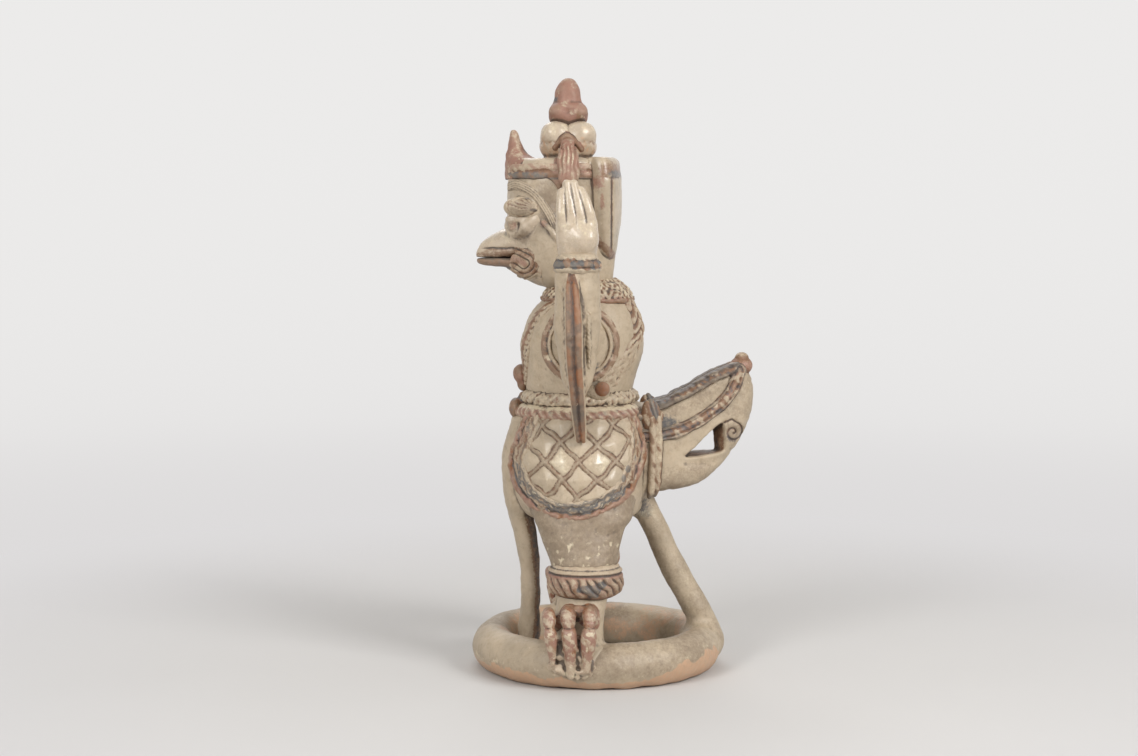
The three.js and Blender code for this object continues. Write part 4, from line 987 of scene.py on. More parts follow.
class GARUDA_OT_torso(ClayOperator, bpy.types.Operator):
    """Models the trunk with its collar, straps and shoulder bands"""

    bl_idname = "garuda.torso"
    bl_label = "Torso"

    SHOULDER = (-11.6, 223)  # Y and height of its middle

    def from_shoulder(self, clay):
        """Distance from the middle of the shoulder, seen from the side."""
        return np.hypot(clay.y - self.SHOULDER[0], clay.z - self.SHOULDER[1])

    def model(self, sizes):
        clay = Clay((-50, -58, 176), (50, 38, 268), 0.85)
        torso = torso_form(clay)
        ring = self.from_shoulder(clay)
        behind = step(-8, 2, clay.y)
        pleats = sum(bump(ring - radius, 0.8) for radius in (18.2, 15.4, 12.8))
        dome = step(20, 4, ring) * step(20, 30, np.abs(clay.x))
        trunk = torso + 0.28 * pleats * behind * step(20, 30, np.abs(clay.x)) - 3 * dome
        clay.paint("smoke", 0.2 * pleats * behind)
        clay.paint("ash", 0.8 * bump(clay.y + 1, 7) * bump(clay.z - 204, 6) * step(26, 34, np.abs(clay.x)))
        # Lime on the dome, partly painted light that lifts it where the arm shades it.
        clay.paint("lime", 0.42 * dome)
        clay.fire("torso", trunk, "pale_slip", seed=51)
        self.collar()
        self.chest_strap()
        self.back_strap()
        self.shoulder_bands()

    def collar(self):
        clay = Clay((-42, -42, 243), (42, 30, 269), 0.7)
        turn = np.arctan2(clay.y + 6.5, clay.x)
        rough = clay.lumps(5.5, 0.6, 8)
        arc = 32 * turn
        wander = clay.lumps(13, 1.6, 31)
        tiers = np.cos(2 * math.pi * (clay.z - 0.2 * arc + wander) / 5.8)
        nubs = np.cos(2 * math.pi * (arc + wander) / 6.4) * tiers
        field = clay.ovals(COLLAR, ends=3) - 0.7 * nubs * step(251, 254, clay.z) + 0.6 * rough
        field = field + 0.8 * bump(clay.z - 253.4 + rough, 0.8)
        clay.paint("pale", 0.95 * step(-0.6, 0.2, nubs + 0.5 * rough) * step(251, 254, clay.z))
        clay.paint("lime", 0.85 * step(0.1, 0.7, nubs - 0.5 * rough) * step(253, 256, clay.z))
        foot = 0.7 * bump(clay.z - 250.6, 2.8) * step(-0.6, 0.4, rough)
        clay.paint("red", foot + 0.5 * step(0.4, 1, rough))
        clay.paint("ash", 0.4 * step(0.5, 1.1, -rough))
        clay.fire("collar", field, "umber_slip", around=[torso_form(clay)], seed=52)

    def chest_strap(self):
        clay = Clay((-50, -58, 184), (50, 38, 258), 0.7)
        host = torso_form(clay)
        side = np.abs(clay.x)
        line = [(24, 253), (20.5, 243), (19.5, 232), (17, 220), (11.5, 208), (4, 198)]
        gap = to_line(side, clay.z, smooth_line(line, 5))
        rough = clay.lumps(6, 0.6, 18)
        nubs = np.cos(1.5 * clay.z + 0.5 * side + rough)
        rise = 1.0 - 0.6 * bump(gap - 3.4, 0.7) + 0.4 * bump(gap, 1.6)
        rise = rise + 0.35 * nubs * bump(gap - 4, 2) + 0.35 * rough
        clay.paint("pale", (0.75 + 0.3 * nubs - 0.3 * rough) * step(0.5, 3, gap))
        clay.paint("red", 0.5 * bump(gap, 2.4) * step(-0.3, 0.6, rough))
        clay.paint("smoke", 0.4 * step(-0.2, 0.8, rough))
        clay.paint("soot", 0.4 * bump(gap - 3.2, 0.8) * step(-0.8, 0.3, -rough))
        field = pressed(host, rise, np.maximum(gap - 5.4, clay.y + 12))
        clay.fire("chest_strap", field, "umber_slip", around=[host], uneven=0.7, seed=53)

    def back_strap(self):
        clay = Clay((-50, -58, 184), (50, 38, 258), 0.7)
        host = torso_form(clay)
        side = np.abs(clay.x)
        line = [(9, 258), (15, 247), (17.5, 235), (21.5, 224), (26, 215), (30.5, 206), (35, 198), (42, 191)]
        gap = to_line(side, clay.z, smooth_line(line, 5))
        rough = clay.lumps(6, 0.6, 19)
        twist = np.cos((clay.z - 0.7 * side + 2.4 * gap) / 1.5 + 0.4 * rough)
        high = step(216, 232, clay.z)
        rise = 1.0 + 1.1 * high + (0.15 + 0.9 * high) * twist
        rise = rise - 0.4 * bump(gap - 2.6, 0.6) * (1 - high) + 0.3 * rough
        clay.paint("pale", 0.75 * step(-0.3, 0.5, twist + 0.6 * rough) + 0.6 * (1 - high))
        clay.paint("lime", 0.7 * bump(gap, 2.6) * step(0.1, 0.9, twist) * (0.3 + 0.6 * high))
        clay.paint("soot", 0.6 * step(0.3, 0.95, -twist) * high * step(-0.8, 0.4, rough))
        clay.paint("red", 0.5 * step(0.2, 0.9, rough) * (0.5 + 0.5 * high))
        field = pressed(host, rise, np.maximum(gap - 6, -clay.y - 1), 2.2)
        clay.fire("back_strap", field, "umber_slip", around=[host], uneven=0.7, seed=54)

    def shoulder_bands(self):
        clay = Clay((14, -42, 192), (52, 20, 254), 0.6)
        host = torso_form(clay)
        ring = self.from_shoulder(clay)
        gap = np.abs(ring - 22.8)
        rough = clay.lumps(6, 0.6, 20)
        rise = 1.5 + 0.4 * bump(ring - 20.6, 0.8) - 0.6 * bump(ring - 22, 0.6)
        rise = rise + 0.5 * bump(ring - 24, 1.2) + 0.35 * rough
        clay.paint("pale", 0.8 * bump(ring - 20.6, 1.4) + 0.7 * step(-0.2, 0.6, -rough))
        clay.paint("ash", 0.5 * bump(ring - 22.2, 0.9) * step(-0.6, 0.4, rough))
        clay.paint("soot", 0.45 * bump(ring - 22.1, 0.7) + 0.4 * step(0.5, 1.1, rough))
        clay.paint("lime", 0.9 * bump(clay.y + 29, 7) * bump(clay.z - 212, 7) * step(0, 0.8, -rough))
        clay.paint("red", 0.6 * bump(ring - 24, 1.6) * step(-0.3, 0.6, -rough))
        field = pressed(host, rise, np.maximum(gap - 3.5, 16 - clay.x))
        clay.fire_pair("shoulder_band", field, "umber_slip", around=[host], uneven=0.7, seed=55)


class GARUDA_OT_belts(ClayOperator, bpy.types.Operator):
    """Lays the two belts, and sets on the buckle, pendant and bosses"""

    bl_idname = "garuda.belts"
    bl_label = "Belts and bosses"

    def model(self, sizes):
        self.upper_belt()
        self.lower_belt()
        self.front_bosses()
        self.side_bosses()

    def belt(self, rows, seed):
        """A grid round a belt, its form, the turn round it, the height from its middle and a roughness."""
        clay = Clay((-52, -60, rows[0][0] - 3), (52, 36, rows[-1][0] + 3), 0.65)
        turn = np.arctan2((clay.y + 11.5) * 1.1, clay.x)
        level = clay.z - (rows[1][0] + rows[2][0]) / 2
        return clay, clay.ovals(rows, ends=2.2), turn, level, clay.lumps(6, 0.6, seed)

    def lay(self, clay, node, field, seed):
        """Fires a belt round the trunk."""
        host = np.minimum(clay.ovals(HIPS), clay.ovals(TORSO))
        clay.fire(node, field, "ash_slip", around=[host], seed=seed)

    def upper_belt(self):
        seed = 61
        clay, field, turn, level, rough = self.belt(UPPER_BELT, seed)
        beads = np.cos(60 * turn + 2 * rough) * np.cos(1.3 * level + rough)
        field = field - 0.35 * beads + 0.6 * rough
        clay.paint("pale", 0.9 + 0.2 * beads)
        clay.paint("umber", 0.5 * step(-0.3, 0.7, rough - 0.5 * beads))
        clay.paint("smoke", 0.6 * step(-0.2, 0.8, -rough))
        clay.paint("lime", 0.5 * step(0.3, 1, beads - rough))
        self.lay(clay, "upper_belt", field, seed)

    def lower_belt(self):
        seed = 62
        clay, field, turn, level, rough = self.belt(LOWER_BELT, seed)
        twist = np.cos(40 * turn + 0.8 * level + 0.8 * np.sin(5 * turn))
        field = field - 0.55 * twist * bump(level, 2.8) + 0.3 * rough
        clay.paint("pale", 0.9 * step(-0.8, 0.6, rough + 0.4 * twist))
        clay.paint("red", 0.75 - 0.2 * twist - 0.3 * rough)
        clay.paint("umber", 0.5 * step(0.2, 0.9, -twist))
        brim = 0.75 * bump(level - 4.2, 1.6)
        clay.paint("lime", brim + 0.4 * step(0.5, 0.95, twist - 0.5 * rough))
        self.lay(clay, "lower_belt", field, seed)

    def side_bosses(self):
        clay = Clay((30, -10, 182), (52, 16, 206), 0.5)
        boss = clay.ball((42, 3, 193.8), (3.4, 5.2, 5.2))
        boss = blend(boss, clay.ball((39, 0, 191), (4.4, 8, 5.4)), 0.8)
        disc = step(5.4, 4.4, np.hypot(clay.y - 3, clay.z - 193.8)) * step(42, 43, clay.x)
        clay.paint("rust", 0.9 * disc)
        clay.paint("pale", 0.6 * (1 - disc))
        clay.paint("smoke", 0.9 * (1 - disc))
        clay.fire_pair("side_boss", boss, "ash_slip", around=[torso_form(clay)], uneven=0.5, seed=63)

    def front_bosses(self):
        clay = Clay((-14, -64, 164), (14, -42, 190), 0.5)
        knob = clay.ball((0, -55.4, 177.4), (8.6, 4.8, 7))
        stem = clay.coil([(0, -50, 185), (0, -52.6, 177), (0, -53.5, 168)], [3.6, 4.6, 3])
        clay.paint("ash", 0.55 * step(-0.2, 0.7, clay.lumps(7, 0.6, 5)))
        clay.paint("pale", 0.5 * bump(clay.z - 179.5, 3) * step(-58, -60, clay.y))
        clay.fire("buckle", blend(knob, stem, 1.2), "umber_slip", uneven=0.6, seed=64)
        clay = Clay((-12, -60, 186), (12, -42, 212), 0.5)
        drop = clay.ball((0, -51.6, 200.6), (6.8, 5.4, 6.6))
        drop = blend(drop, clay.ball((0, -50, 193.8), (4.6, 4.2, 5)), 1.4)
        clay.paint("red", 0.6 * bump(clay.z - 198, 4))
        clay.fire("chest_pendant", drop, "umber_slip", around=[torso_form(clay)], uneven=0.6, seed=65)


class GARUDA_OT_head(ClayOperator, bpy.types.Operator):
    """Models the head with its hair block and diadem"""

    bl_idname = "garuda.head"
    bl_label = "Head"

    def model(self, sizes):
        clay = Clay((-38, -66, 246), (38, 20, 351), 0.75)
        head = head_form(clay)
        side = step(20, 27, np.abs(clay.x))
        ridges = [
            clay.coil([(28.8 * s, -36, 303.5), (29.8 * s, -31, 298), (30 * s, -26.5, 292.5)], 1.7)
            for s in (-1, 1)
        ]
        head = blend(head, np.minimum(*ridges), 1.2)
        clay.paint("ash", 0.8 * side * bump(clay.y + 30, 4) * bump(clay.z - 305.5, 6))
        clay.paint("smoke", 0.8 * side * bump(clay.y + 34, 10) * bump(clay.z - 316, 16))
        clay.paint("red", 0.8 * side * bump(np.hypot(clay.y + 36, clay.z - 303), 2.6))
        clay.paint("gloss", 0.5 * step(268, 290, clay.z))
        clay.fire("head", head, "pale_slip", seed=71)
        self.hair()
        self.diadem()

    def hair(self):
        clay = Clay((-38, -14, 271), (38, 20, 351), 0.65)
        head = head_form(clay)
        field = clay.ovals(HAIR, ends=5)
        side = np.abs(clay.x)
        groove = bump(clay.y - 9.2, 0.8) * step(281, 286, clay.z) * step(334, 331, clay.z)
        groove = groove * step(14, 20, side)
        rim = bump(clay.z - 333, 0.9) * step(3, 6, clay.y) * step(14, 20, side)
        field = field + 1.2 * groove + 0.7 * rim
        low = in_outline(clay.y, clay.z, [(-6, 292), (4, 284), (10, 274), (12, 282), (6, 289), (-4, 297)])
        clay.paint("umber", 0.9 * groove + 0.75 * rim + 0.8 * step(1.5, -1.5, low))
        clay.paint("umber", 0.85 * bump(clay.z - 338, 5) * step(-4, 6, clay.y))
        clay.paint("ash", 0.7 * bump(clay.z - 335, 3) * step(5, 9, clay.y))
        clay.paint("red", 0.75 * bump(clay.z - 330, 6) * step(8, 1, clay.y))
        clay.paint("red", 0.7 * bump(clay.y - 3, 1.6) * bump(clay.z - 318, 9))
        clay.paint("gloss", 0.6 * np.ones_like(clay.z))
        clay.fire("hair_block", luted(field, head, 2), "pale_slip", around=[head], seed=72)

    def diadem(self):
        clay = Clay((-38, -66, 318), (38, 22, 349), 0.6)
        head = head_form(clay)
        side = np.abs(clay.x)
        tab = in_outline(
            clay.y, clay.z, [(-40, 337), (-33, 333), (-28, 328.5), (-25.5, 325.5), (-23, 331), (-20, 337)]
        )
        level = clay.z - 337.2
        band = blend(np.abs(level) - 5.2, np.maximum(tab, 10 - side), 2)
        rise = 1.5 - 0.7 * bump(level - 0.2, 0.8) - 0.4 * bump(level + 4, 0.6)
        rough = clay.lumps(6, 0.6, 12)
        clay.paint("pale", 0.75 * step(0.4, 1.4, level + rough) + 0.5 * step(0.3, 1, rough))
        clay.paint("red", 0.6 * step(0.4, 1.4, level + rough) * step(-0.6, 0.5, -rough))
        grey = 0.62 * step(0.8, -0.8, level + rough) * step(-24, -36, clay.y)
        clay.paint("ash", grey * step(-1, 0.4, rough))
        clay.paint("red", 0.6 * step(-36, -26, clay.y) * step(-0.8, 0.5, rough))
        clay.paint("soot", 0.8 * bump(level + 5, 0.9))
        field = pressed(head, rise, np.maximum(band, clay.y - 4), 1.4)
        clay.fire("diadem", field, "umber_slip", around=[head], uneven=0.8, seed=73)


class GARUDA_OT_face(ClayOperator, bpy.types.Operator):
    """Models the beak, eyes, brows and the scrolls at the corners of the mouth"""

    bl_idname = "garuda.face"
    bl_label = "Face"

    SCROLL = (-46.8, 275.2)  # Y and height of its middle
    BROW = [  # points of Y and height
        (-60, 327), (-54.4, 328.4), (-45.8, 324.8), (-40.1, 320), (-35.4, 313.4), (-31.5, 306.7),
        (-28.5, 300),
    ]

    def model(self, sizes):
        self.upper_beak()
        self.lower_beak()
        self.scrolls()
        self.eyes()
        self.brows()

    def upper_beak(self):
        clay = Clay((-31, -86, 262), (31, -32, 312), 0.5)
        head = head_form(clay)
        side = np.abs(clay.x)
        upper = clay.ovals(UPPER_BEAK, along="y", ends=2)
        nostrils = []
        for s in (-1, 1):
            knob = clay.ball((13.8 * s, -55, 301), (6.8, 7.2, 7))
            bridge = clay.ball((17.4 * s, -52, 305.4), (5.4, 9.5, 4.6))
            flare = clay.coil(
                [(17 * s, -54.5, 295.4), (20.4 * s, -48.6, 299.4), (24 * s, -41, 305)], [3, 4.6, 2.6],
            )
            nostrils.append(blend(blend(knob, bridge, 2.4), flare, 2))
        whorl = np.hypot(clay.y + 56.6, (clay.z - 301.4) / 1.15)
        crack = to_line(clay.y, clay.z, smooth_line([(-52.5, 302), (-52.8, 298), (-55.6, 293.6)], 4))
        carving = 0.45 * bump(whorl - 4.2, 0.8) + 0.55 * bump(crack, 0.7)
        nostril = np.minimum(*nostrils) + carving * step(6, 11, side)
        upper = luted(blend(upper, nostril, 3), head, 3.4)
        mouth = clay.z - SLIT_HEIGHT
        fold = lip_folds(clay)
        tip = step(-84, -72, clay.y)
        upper = upper - bump(fold - 3, 2.6) * tip + 1.2 * bump(fold - 6.5, 0.9) * tip
        field = crease(upper, SLIT_HALF - mouth, 0.8)
        ragged = clay.lumps(6, 0.5, 9)
        clay.paint("umber", 0.62 * step(2.6 + 4.3 * tip, 1.8 + 4 * tip, fold + 0.5 * ragged))
        clay.paint("red", 0.4 * bump(fold - 2.6, 1.6) * step(-0.4, 0.4, ragged))
        clay.paint("soot", 0.5 * bump(fold - 6.5, 0.8) * tip + 1.1 * bump(fold, 0.9))
        clay.paint("red", 0.4 * step(3.8, 2.2, whorl + ragged) * step(6, 11, side))
        clay.paint("smoke", 0.6 * step(4.8, 3.2, whorl + ragged) * step(6, 11, side))
        clay.paint("lime", 0.3 * step(284, 292, clay.z) * step(-50, -62, clay.y))
        # Painted shadow under the nostril flare: a dark line along its lower edge and a smoky patch below it.
        under = to_line(clay.y, clay.z, [(-56, 293), (-52, 291.6), (-46, 294.2), (-40.5, 300.5)])
        clay.paint("soot", 0.45 * bump(under, 0.8) * step(8, 14, side))
        clay.paint("smoke", 0.8 * bump(clay.y + 50, 8) * bump(clay.z - 294, 6) * step(8, 14, side))
        clay.paint("gloss", 0.2 + 0.5 * step(284, 290, clay.z) * step(-58, -64, clay.y))
        clay.fire("upper_beak", field, "ochre_glaze", around=[head], uneven=0.6, seed=81)

    def lower_beak(self):
        clay = Clay((-26, -86, 258), (26, -32, 284), 0.5)
        head = head_form(clay)
        mouth = clay.z - SLIT_HEIGHT
        lower = luted(clay.ovals(LOWER_BEAK, along="y", ends=2), head, 5)
        fold = lip_folds(clay)
        lower = lower - 0.8 * bump(fold - 3, 2.4) * step(-84, -74, clay.y) + 0.8 * bump(fold - 6.5, 0.8)
        clay.paint("ash", 0.4 * step(0, 0.8, clay.lumps(6, 0.6, 4)))
        clay.paint("soot", 1.2 * bump(fold, 1.1))
        clay.paint("red", 0.45 * bump(fold - 2.8, 1.6))
        clay.paint("pale", 0.9 * step(6.8, 8, fold))
        field = crease(lower, mouth + SLIT_HALF, 0.8)
        clay.fire("lower_beak", field, "umber_slip", around=[head], uneven=0.6, seed=82)

    def scrolls(self):
        clay = Clay((4, -64, 260), (30, -32, 292), 0.42)
        host = np.minimum(head_form(clay), clay.ovals(UPPER_BEAK, along="y"))
        disc = clay.ball((16, *self.SCROLL), (6.6, 12.2, 11.4))
        fold = lip_folds(clay)
        grooves = sum(bump(fold - radius, 0.6) for radius in (3.2, 6.5, 9.5))
        field = crease(disc, fold - 11, 2) + 0.9 * grooves
        rough = clay.lumps(7, 0.6, 8)
        clay.paint("pale", 0.35 + 0.35 * step(0, 0.8, rough) + 0.4 * step(9.6, 10.6, fold))
        clay.paint("red", 0.45 * step(2.6, 1.6, fold) + 0.3 * bump(fold - 4.8, 1))
        clay.paint("soot", 0.45 * grooves)
        field = luted(field, host, 3)
        clay.fire_pair("mouth_scroll", field, "umber_slip", around=[host], uneven=0.5, seed=83)

    def eyes(self):
        clay = Clay((8, -66, 300), (36, -34, 328), 0.42)
        head = head_form(clay)
        eye = clay.ball((20.3, -50.6, 313.2), (7.2, 12.2, 7.2))
        eye = blend(eye, clay.ball((24, -43.6, 312.4), (4.4, 5.6, 5)), 3)
        share = np.hypot((clay.y + 50) / 11.8, (clay.z - 313.2) / 6.7) + clay.lumps(6, 0.03, 6)
        lid = bump(share - 0.86, 0.07)
        wander = clay.lumps(9, 0.02, 5)
        fan = np.arctan2(clay.z - 311 - 0.012 * (clay.y + 50) ** 2, -(clay.y + 40)) + wander
        lashes = (0.5 + 0.5 * np.cos(2 * math.pi * fan / 0.19)) ** 2
        lashes = lashes * step(0.86, 0.7, share) * step(-0.05, 0.08, fan)
        corner = np.hypot((clay.y + 42.6) / 3, (clay.z - 311.3) / 1.2)
        field = eye + 0.5 * lid + 0.45 * lashes
        clay.paint("smoke", 0.6 * step(1, 0.6, share))
        clay.paint("umber", 0.45 * lid + 0.55 * lashes)
        clay.paint("soot", 0.42 * lashes + 0.7 * step(1.2, 0.5, corner) + 0.25 * lid)
        clay.paint("gloss", 0.25 * np.ones_like(clay.z))
        clay.fire_pair("eye", luted(field, head, 2.4), "pale_slip", around=[head], uneven=0.4, seed=84)

    def brows(self):
        clay = Clay((2, -68, 294), (38, -22, 338), 0.45)
        head = head_form(clay)
        arc = smooth_line(self.BROW, 5)
        gap = to_line(clay.y, clay.z, arc)
        rough = clay.lumps(4, 0.5, 4)
        rise = 1.1 - 0.3 * bump(gap - 0.7, 0.4) - 0.35 * bump(gap - 2.2, 0.4) + 0.1 * rough
        field = pressed(head, rise, np.maximum(gap - 3, 6 - clay.x), 1.4)
        clay.paint("pale", 0.95 * np.ones_like(clay.z))
        clay.paint("smoke", 0.85 + 0.3 * rough)
        lines = 0.6 * bump(gap - 0.7, 0.4) + 0.65 * bump(gap - 2.3, 0.5)
        clay.paint("soot", lines + 0.3 * step(308, 300, clay.z))
        clay.fire_pair("brow", field, "umber_slip", around=[head], uneven=0.5, seed=85)


class GARUDA_OT_headdress(ClayOperator, bpy.types.Operator):
    """Models the crest, topknot, finial and the leaves at the sides"""

    bl_idname = "garuda.headdress"
    bl_label = "Headdress"

    def model(self, sizes):
        self.crest()
        self.topknot()
        self.finial()
        self.leaves()

    def crest(self):
        clay = Clay((-20, -66, 332), (20, -30, 370), 0.5)
        head = head_form(clay)
        crest = luted(clay.ovals(CREST, ends=2.4), head, 9)
        clay.paint("pale", 0.8 * step(346.5, 342.5, clay.z) * step(-50, -44, clay.y))
        clay.paint("pale", 0.45 * step(-0.5, 0.6, clay.lumps(11, 0.6, 3)))
        clay.fire("crest", crest, "red_slip", around=[head], seed=91)

    def topknot(self):
        clay = Clay((-24, -44, 340), (24, 4, 378), 0.55)
        knot = topknot_form(clay)
        seam = bump(clay.y - KNOT_Y, 1.2) * step(356, 360, clay.z)
        seam = seam + bump(clay.z - 356.5 - clay.lumps(9, 1, 8), 1.2)
        knot = knot + 0.4 * seam
        clay.paint("umber", 0.5 * seam * step(-0.8, 0.3, clay.lumps(6, 0.6, 9)))
        clay.paint("bare", 0.35 * step(0, 0.8, clay.lumps(12, 0.6, 11)))
        clay.paint("gloss", 0.6 * np.ones_like(clay.z))
        clay.paint("lime", 0.4 * step(357, 364, clay.z) * step(-0.6, 0.5, clay.lumps(9, 0.6, 3)))
        clay.paint("bare", 0.5 * step(358, 350, clay.z))
        clay.paint("red", 0.4 * step(356, 350, clay.z) * step(0, 0.8, clay.lumps(8, 0.6, 5)))
        clay.fire("topknot", luted(knot, head_form(clay), 3), "ochre_glaze", uneven=0.7, seed=92)

    def finial(self):
        clay = Clay((-19, -38, 364), (19, 0, 404), 0.5)
        profile = [
            (366, 9.5), (369.5, 11.4), (373, 13.4), (377.5, 14.2), (381, 12.8), (383.5, 10.4), (386, 9.4),
            (389.5, 8.8), (394, 7.4), (398, 5), (400.3, 2.8),
        ]
        turn = np.arctan2(clay.y - KNOT_Y, clay.x)
        lobes = np.cos(4 * turn - math.pi) * bump(clay.z - 377, 4.4)
        field = clay.ovals([(z, 0, KNOT_Y, radius, radius) for z, radius in profile], ends=2) - 1.7 * lobes
        clay.paint("ash", 0.8 * bump(clay.z - 385.5, 2.2) * step(-0.5, -0.9, np.sin(turn)))
        clay.paint("umber", 0.6 * step(0.2, 0.9, clay.lumps(8, 0.6, 3)) * step(384, 378, clay.z))
        clay.paint("pale", 0.4 * step(0.1, 0.9, clay.lumps(9, 0.6, 6)))
        clay.fire("finial", field, "red_slip", around=[topknot_form(clay)], seed=93)

    def leaves(self):
        clay = Clay((6, -34, 326), (42, -4, 368), 0.45)
        host = np.minimum(topknot_form(clay), head_form(clay))
        spine = [(18, -20, 357.5), (23, -19.6, 351), (30, -19.2, 344), (33.8, -19, 335), (34, -19.4, 330.5)]
        leaf = clay.coil(spine, [4.4, 5.8, 7.2, 7.8, 4.6], stretch=(2.6, 1, 1))
        u = clay.y + 19.4 + clay.lumps(9, 0.4, 2)
        stripe = 0.5 + 0.5 * np.cos(2 * math.pi * u / 2.9)
        low = step(357, 352, clay.z)
        leaf = leaf + 0.45 * (1 - stripe) ** 2 * low * step(331, 336, clay.z)
        arch = clay.coil(
            [(16, -28.4, 353), (18.4, -24, 357.6), (20, -20.2, 360.4), (18.4, -15.6, 357), (16, -11, 352)],
            [1.6, 2, 2.2, 2, 1.6],
        )
        field = blend(leaf, arch, 1.2)
        clay.paint("pale", 0.75 * stripe * low * step(335, 347, clay.z) * bump(u, 4.5))
        clay.paint("lime", 0.5 * step(0.6, 0.95, stripe) * low * step(334, 344, clay.z) * bump(u, 4.5))
        clay.paint("umber", 0.5 * (1 - stripe) ** 2 * low)
        clay.paint("smoke", 0.3 + 0.2 * clay.lumps(9, 0.6, 4))
        clay.paint("pale", 0.4 * step(-0.3, 0.8, clay.lumps(7, 0.6, 7)))
        clay.paint("umber", 0.85 * step(1.2, -0.4, arch))
        clay.fire_pair("ear_leaf", luted(field, host, 1.4), "red_slip", around=[host], uneven=0.6, seed=94)


class GARUDA_OT_arms(ClayOperator, bpy.types.Operator):
    """Models the raised arms with their bracelets and wings"""

    bl_idname = "garuda.arms"
    bl_label = "Arms and wings"

    def model(self, sizes):
        self.arms()
        self.bracelets()
        self.wings()

    def arms(self):
        clay = Clay((28, -34, 186), (80, 8, 288), 0.65)
        host = torso_form(clay)
        arm = luted(forearm_form(clay), host, 6)
        rope = clay.coil([(70.5, -7.2, 252), (73, -6.6, 238), (72, -6.2, 224), (68.5, -6, 210)], 1.7)
        nick = 0.5 + 0.5 * np.cos(2 * math.pi * (clay.z + 1.1 * clay.y) / 3.0)
        field = blend(arm, rope + 0.45 * (1 - nick), 0.9)
        clay.paint("umber", 0.3 * step(1.5, 0, rope) * (1 - nick))
        clay.paint("lime", 0.35 * step(1.5, 0, rope) * nick)
        clay.fire_pair("arm", field, "pale_slip", around=[host], seed=101)

    def bracelets(self):
        clay = Clay((46, -34, 266), (82, 6, 288), 0.5)
        ring = clay.ovals(BRACELET, ends=2.4) + clay.lumps(5, 0.2, 5)
        ring = ring + 0.9 * bump(clay.z - 279.2, 0.8) + 0.8 * bump(clay.z - 274.2, 0.8)
        turn = np.arctan2(clay.y + 13.6, clay.x - 64)
        rim = step(2.4, 3.6, np.abs(clay.z - 276.8 + 0.5 * np.sin(3 * turn) + clay.lumps(5, 0.5, 6)))
        clay.paint("pale", 0.95 * rim)
        clay.paint("lime", 0.4 * rim * step(0, 0.8, clay.lumps(8, 0.6, 4)))
        clay.paint("umber", 0.75 * (1 - rim) * step(-0.5, 0.5, clay.lumps(7, 0.6, 7)))
        clay.paint("bare", 0.6 * (1 - rim) * step(0.1, 0.9, clay.lumps(9, 0.6, 8)))
        clay.paint("soot", 0.5 * (1 - rim) * step(0.2, 0.9, clay.lumps(8, 0.6, 9)))
        clay.fire_pair("bracelet", ring, "ash_slip", around=[forearm_form(clay)], uneven=0.8, seed=102)

    def wings(self):
        clay = Clay((48, -28, 154), (92, 0, 276), 0.6)
        arm = forearm_form(clay)
        middle = smooth_rows(WING_LINE, 1, clay.z)
        edge = in_outline(clay.x, clay.z, WING_OUTLINE)
        off = clay.y - middle
        half = smooth_rows([(160, 3.4), (190, 4.8), (213, 5.3), (252, 5.2), (264, 4.2), (273, 2)], 1, clay.z)
        blade = crease(np.abs(off) - half, edge, 3)
        fan = np.cos((clay.z - 0.9 * clay.x) * 2 * math.pi / 6.5)
        blade = blade + 0.4 * step(0.5, 0.95, fan) * step(-3, -7, edge)
        blade = blade + 0.9 * bump(off, 0.9) * step(-4, -1.5, edge)
        rim = step(-5.4, -3.2, edge + clay.lumps(9, 0.2, 4))
        clay.paint("pale", 0.95 * np.maximum(1 - rim, step(-0.9, -0.2, np.abs(off) - half)))
        strip = rim * step(-0.2, -0.9, np.abs(off) - half)
        clay.paint("rust", 0.8 * strip * step(-0.9, 0.3, clay.lumps(17, 0.6, 5)))
        clay.paint("soot", 0.5 * strip * step(-0.6, 0.4, clay.lumps(14, 0.6, 6)))
        clay.paint("soot", strip * np.maximum(0.6 * bump(off + 1.2, 1.8), 0.75 * bump(clay.z - 180, 12)))
        field = luted(blade, arm, 3)
        clay.fire_pair("wing", field, "umber_slip", around=[arm], uneven=0.8, seed=103)


class GARUDA_OT_hands(ClayOperator, bpy.types.Operator):
    """Models the open hands"""

    bl_idname = "garuda.hands"
    bl_label = "Hands"

    FINGERS = [  # Y at its root and tip, height of its tip, radius
        (-23.8, -23.8, 325.5, 3.6), (-17.8, -20.4, 331, 3.7), (-11.4, -16, 331, 3.7),
        (-5.2, -11.4, 326.5, 3.6),
    ]

    def model(self, sizes):
        clay = Clay((48, -34, 274), (82, 6, 336), 0.45)
        field = clay.coil(
            [(64, -13.6, 279), (64, -13.8, 290), (64, -14.2, 302), (64, -15, 312)], [11.6, 13.2, 13, 9.5],
            stretch=(1.65, 1, 1),
        )
        for root, tip, top, radius in self.FINGERS:
            knuckle = (67.4, root + 0.1 * (tip - root), 308)
            path = [(66, root, 300), knuckle, (66.5, (root + tip) / 2, 316), (64.6, tip, top - 3)]
            field = blend(field, clay.coil(path, [radius * 0.8, radius, radius * 1.02, radius * 0.8]), 1.5)
        for k in range(3):
            root = (self.FINGERS[k][0] + self.FINGERS[k + 1][0]) / 2
            tip = (self.FINGERS[k][1] + self.FINGERS[k + 1][1]) / 2
            line = smooth_line([(root + 0.3, 299), (root, 308), ((root + tip) / 2, 318), (tip, 328)], 4)
            crack = to_line(clay.y, clay.z, line)
            fade = step(296, 312, clay.z)
            field = field + (0.2 + 0.3 * fade) * bump(crack, 0.65)
            clay.paint("umber", 0.2 * fade * bump(crack, 0.6))
        field = blend(field, clay.ball((69, -9, 293), (6.4, 8.4, 8.8)), 4)
        clay.paint("gloss", 0.7 * np.ones_like(clay.z))
        clay.paint("lime", 0.3 * step(286, 300, clay.z))
        clay.fire_pair("hand", field, "ochre_glaze", uneven=0.5, seed=111)


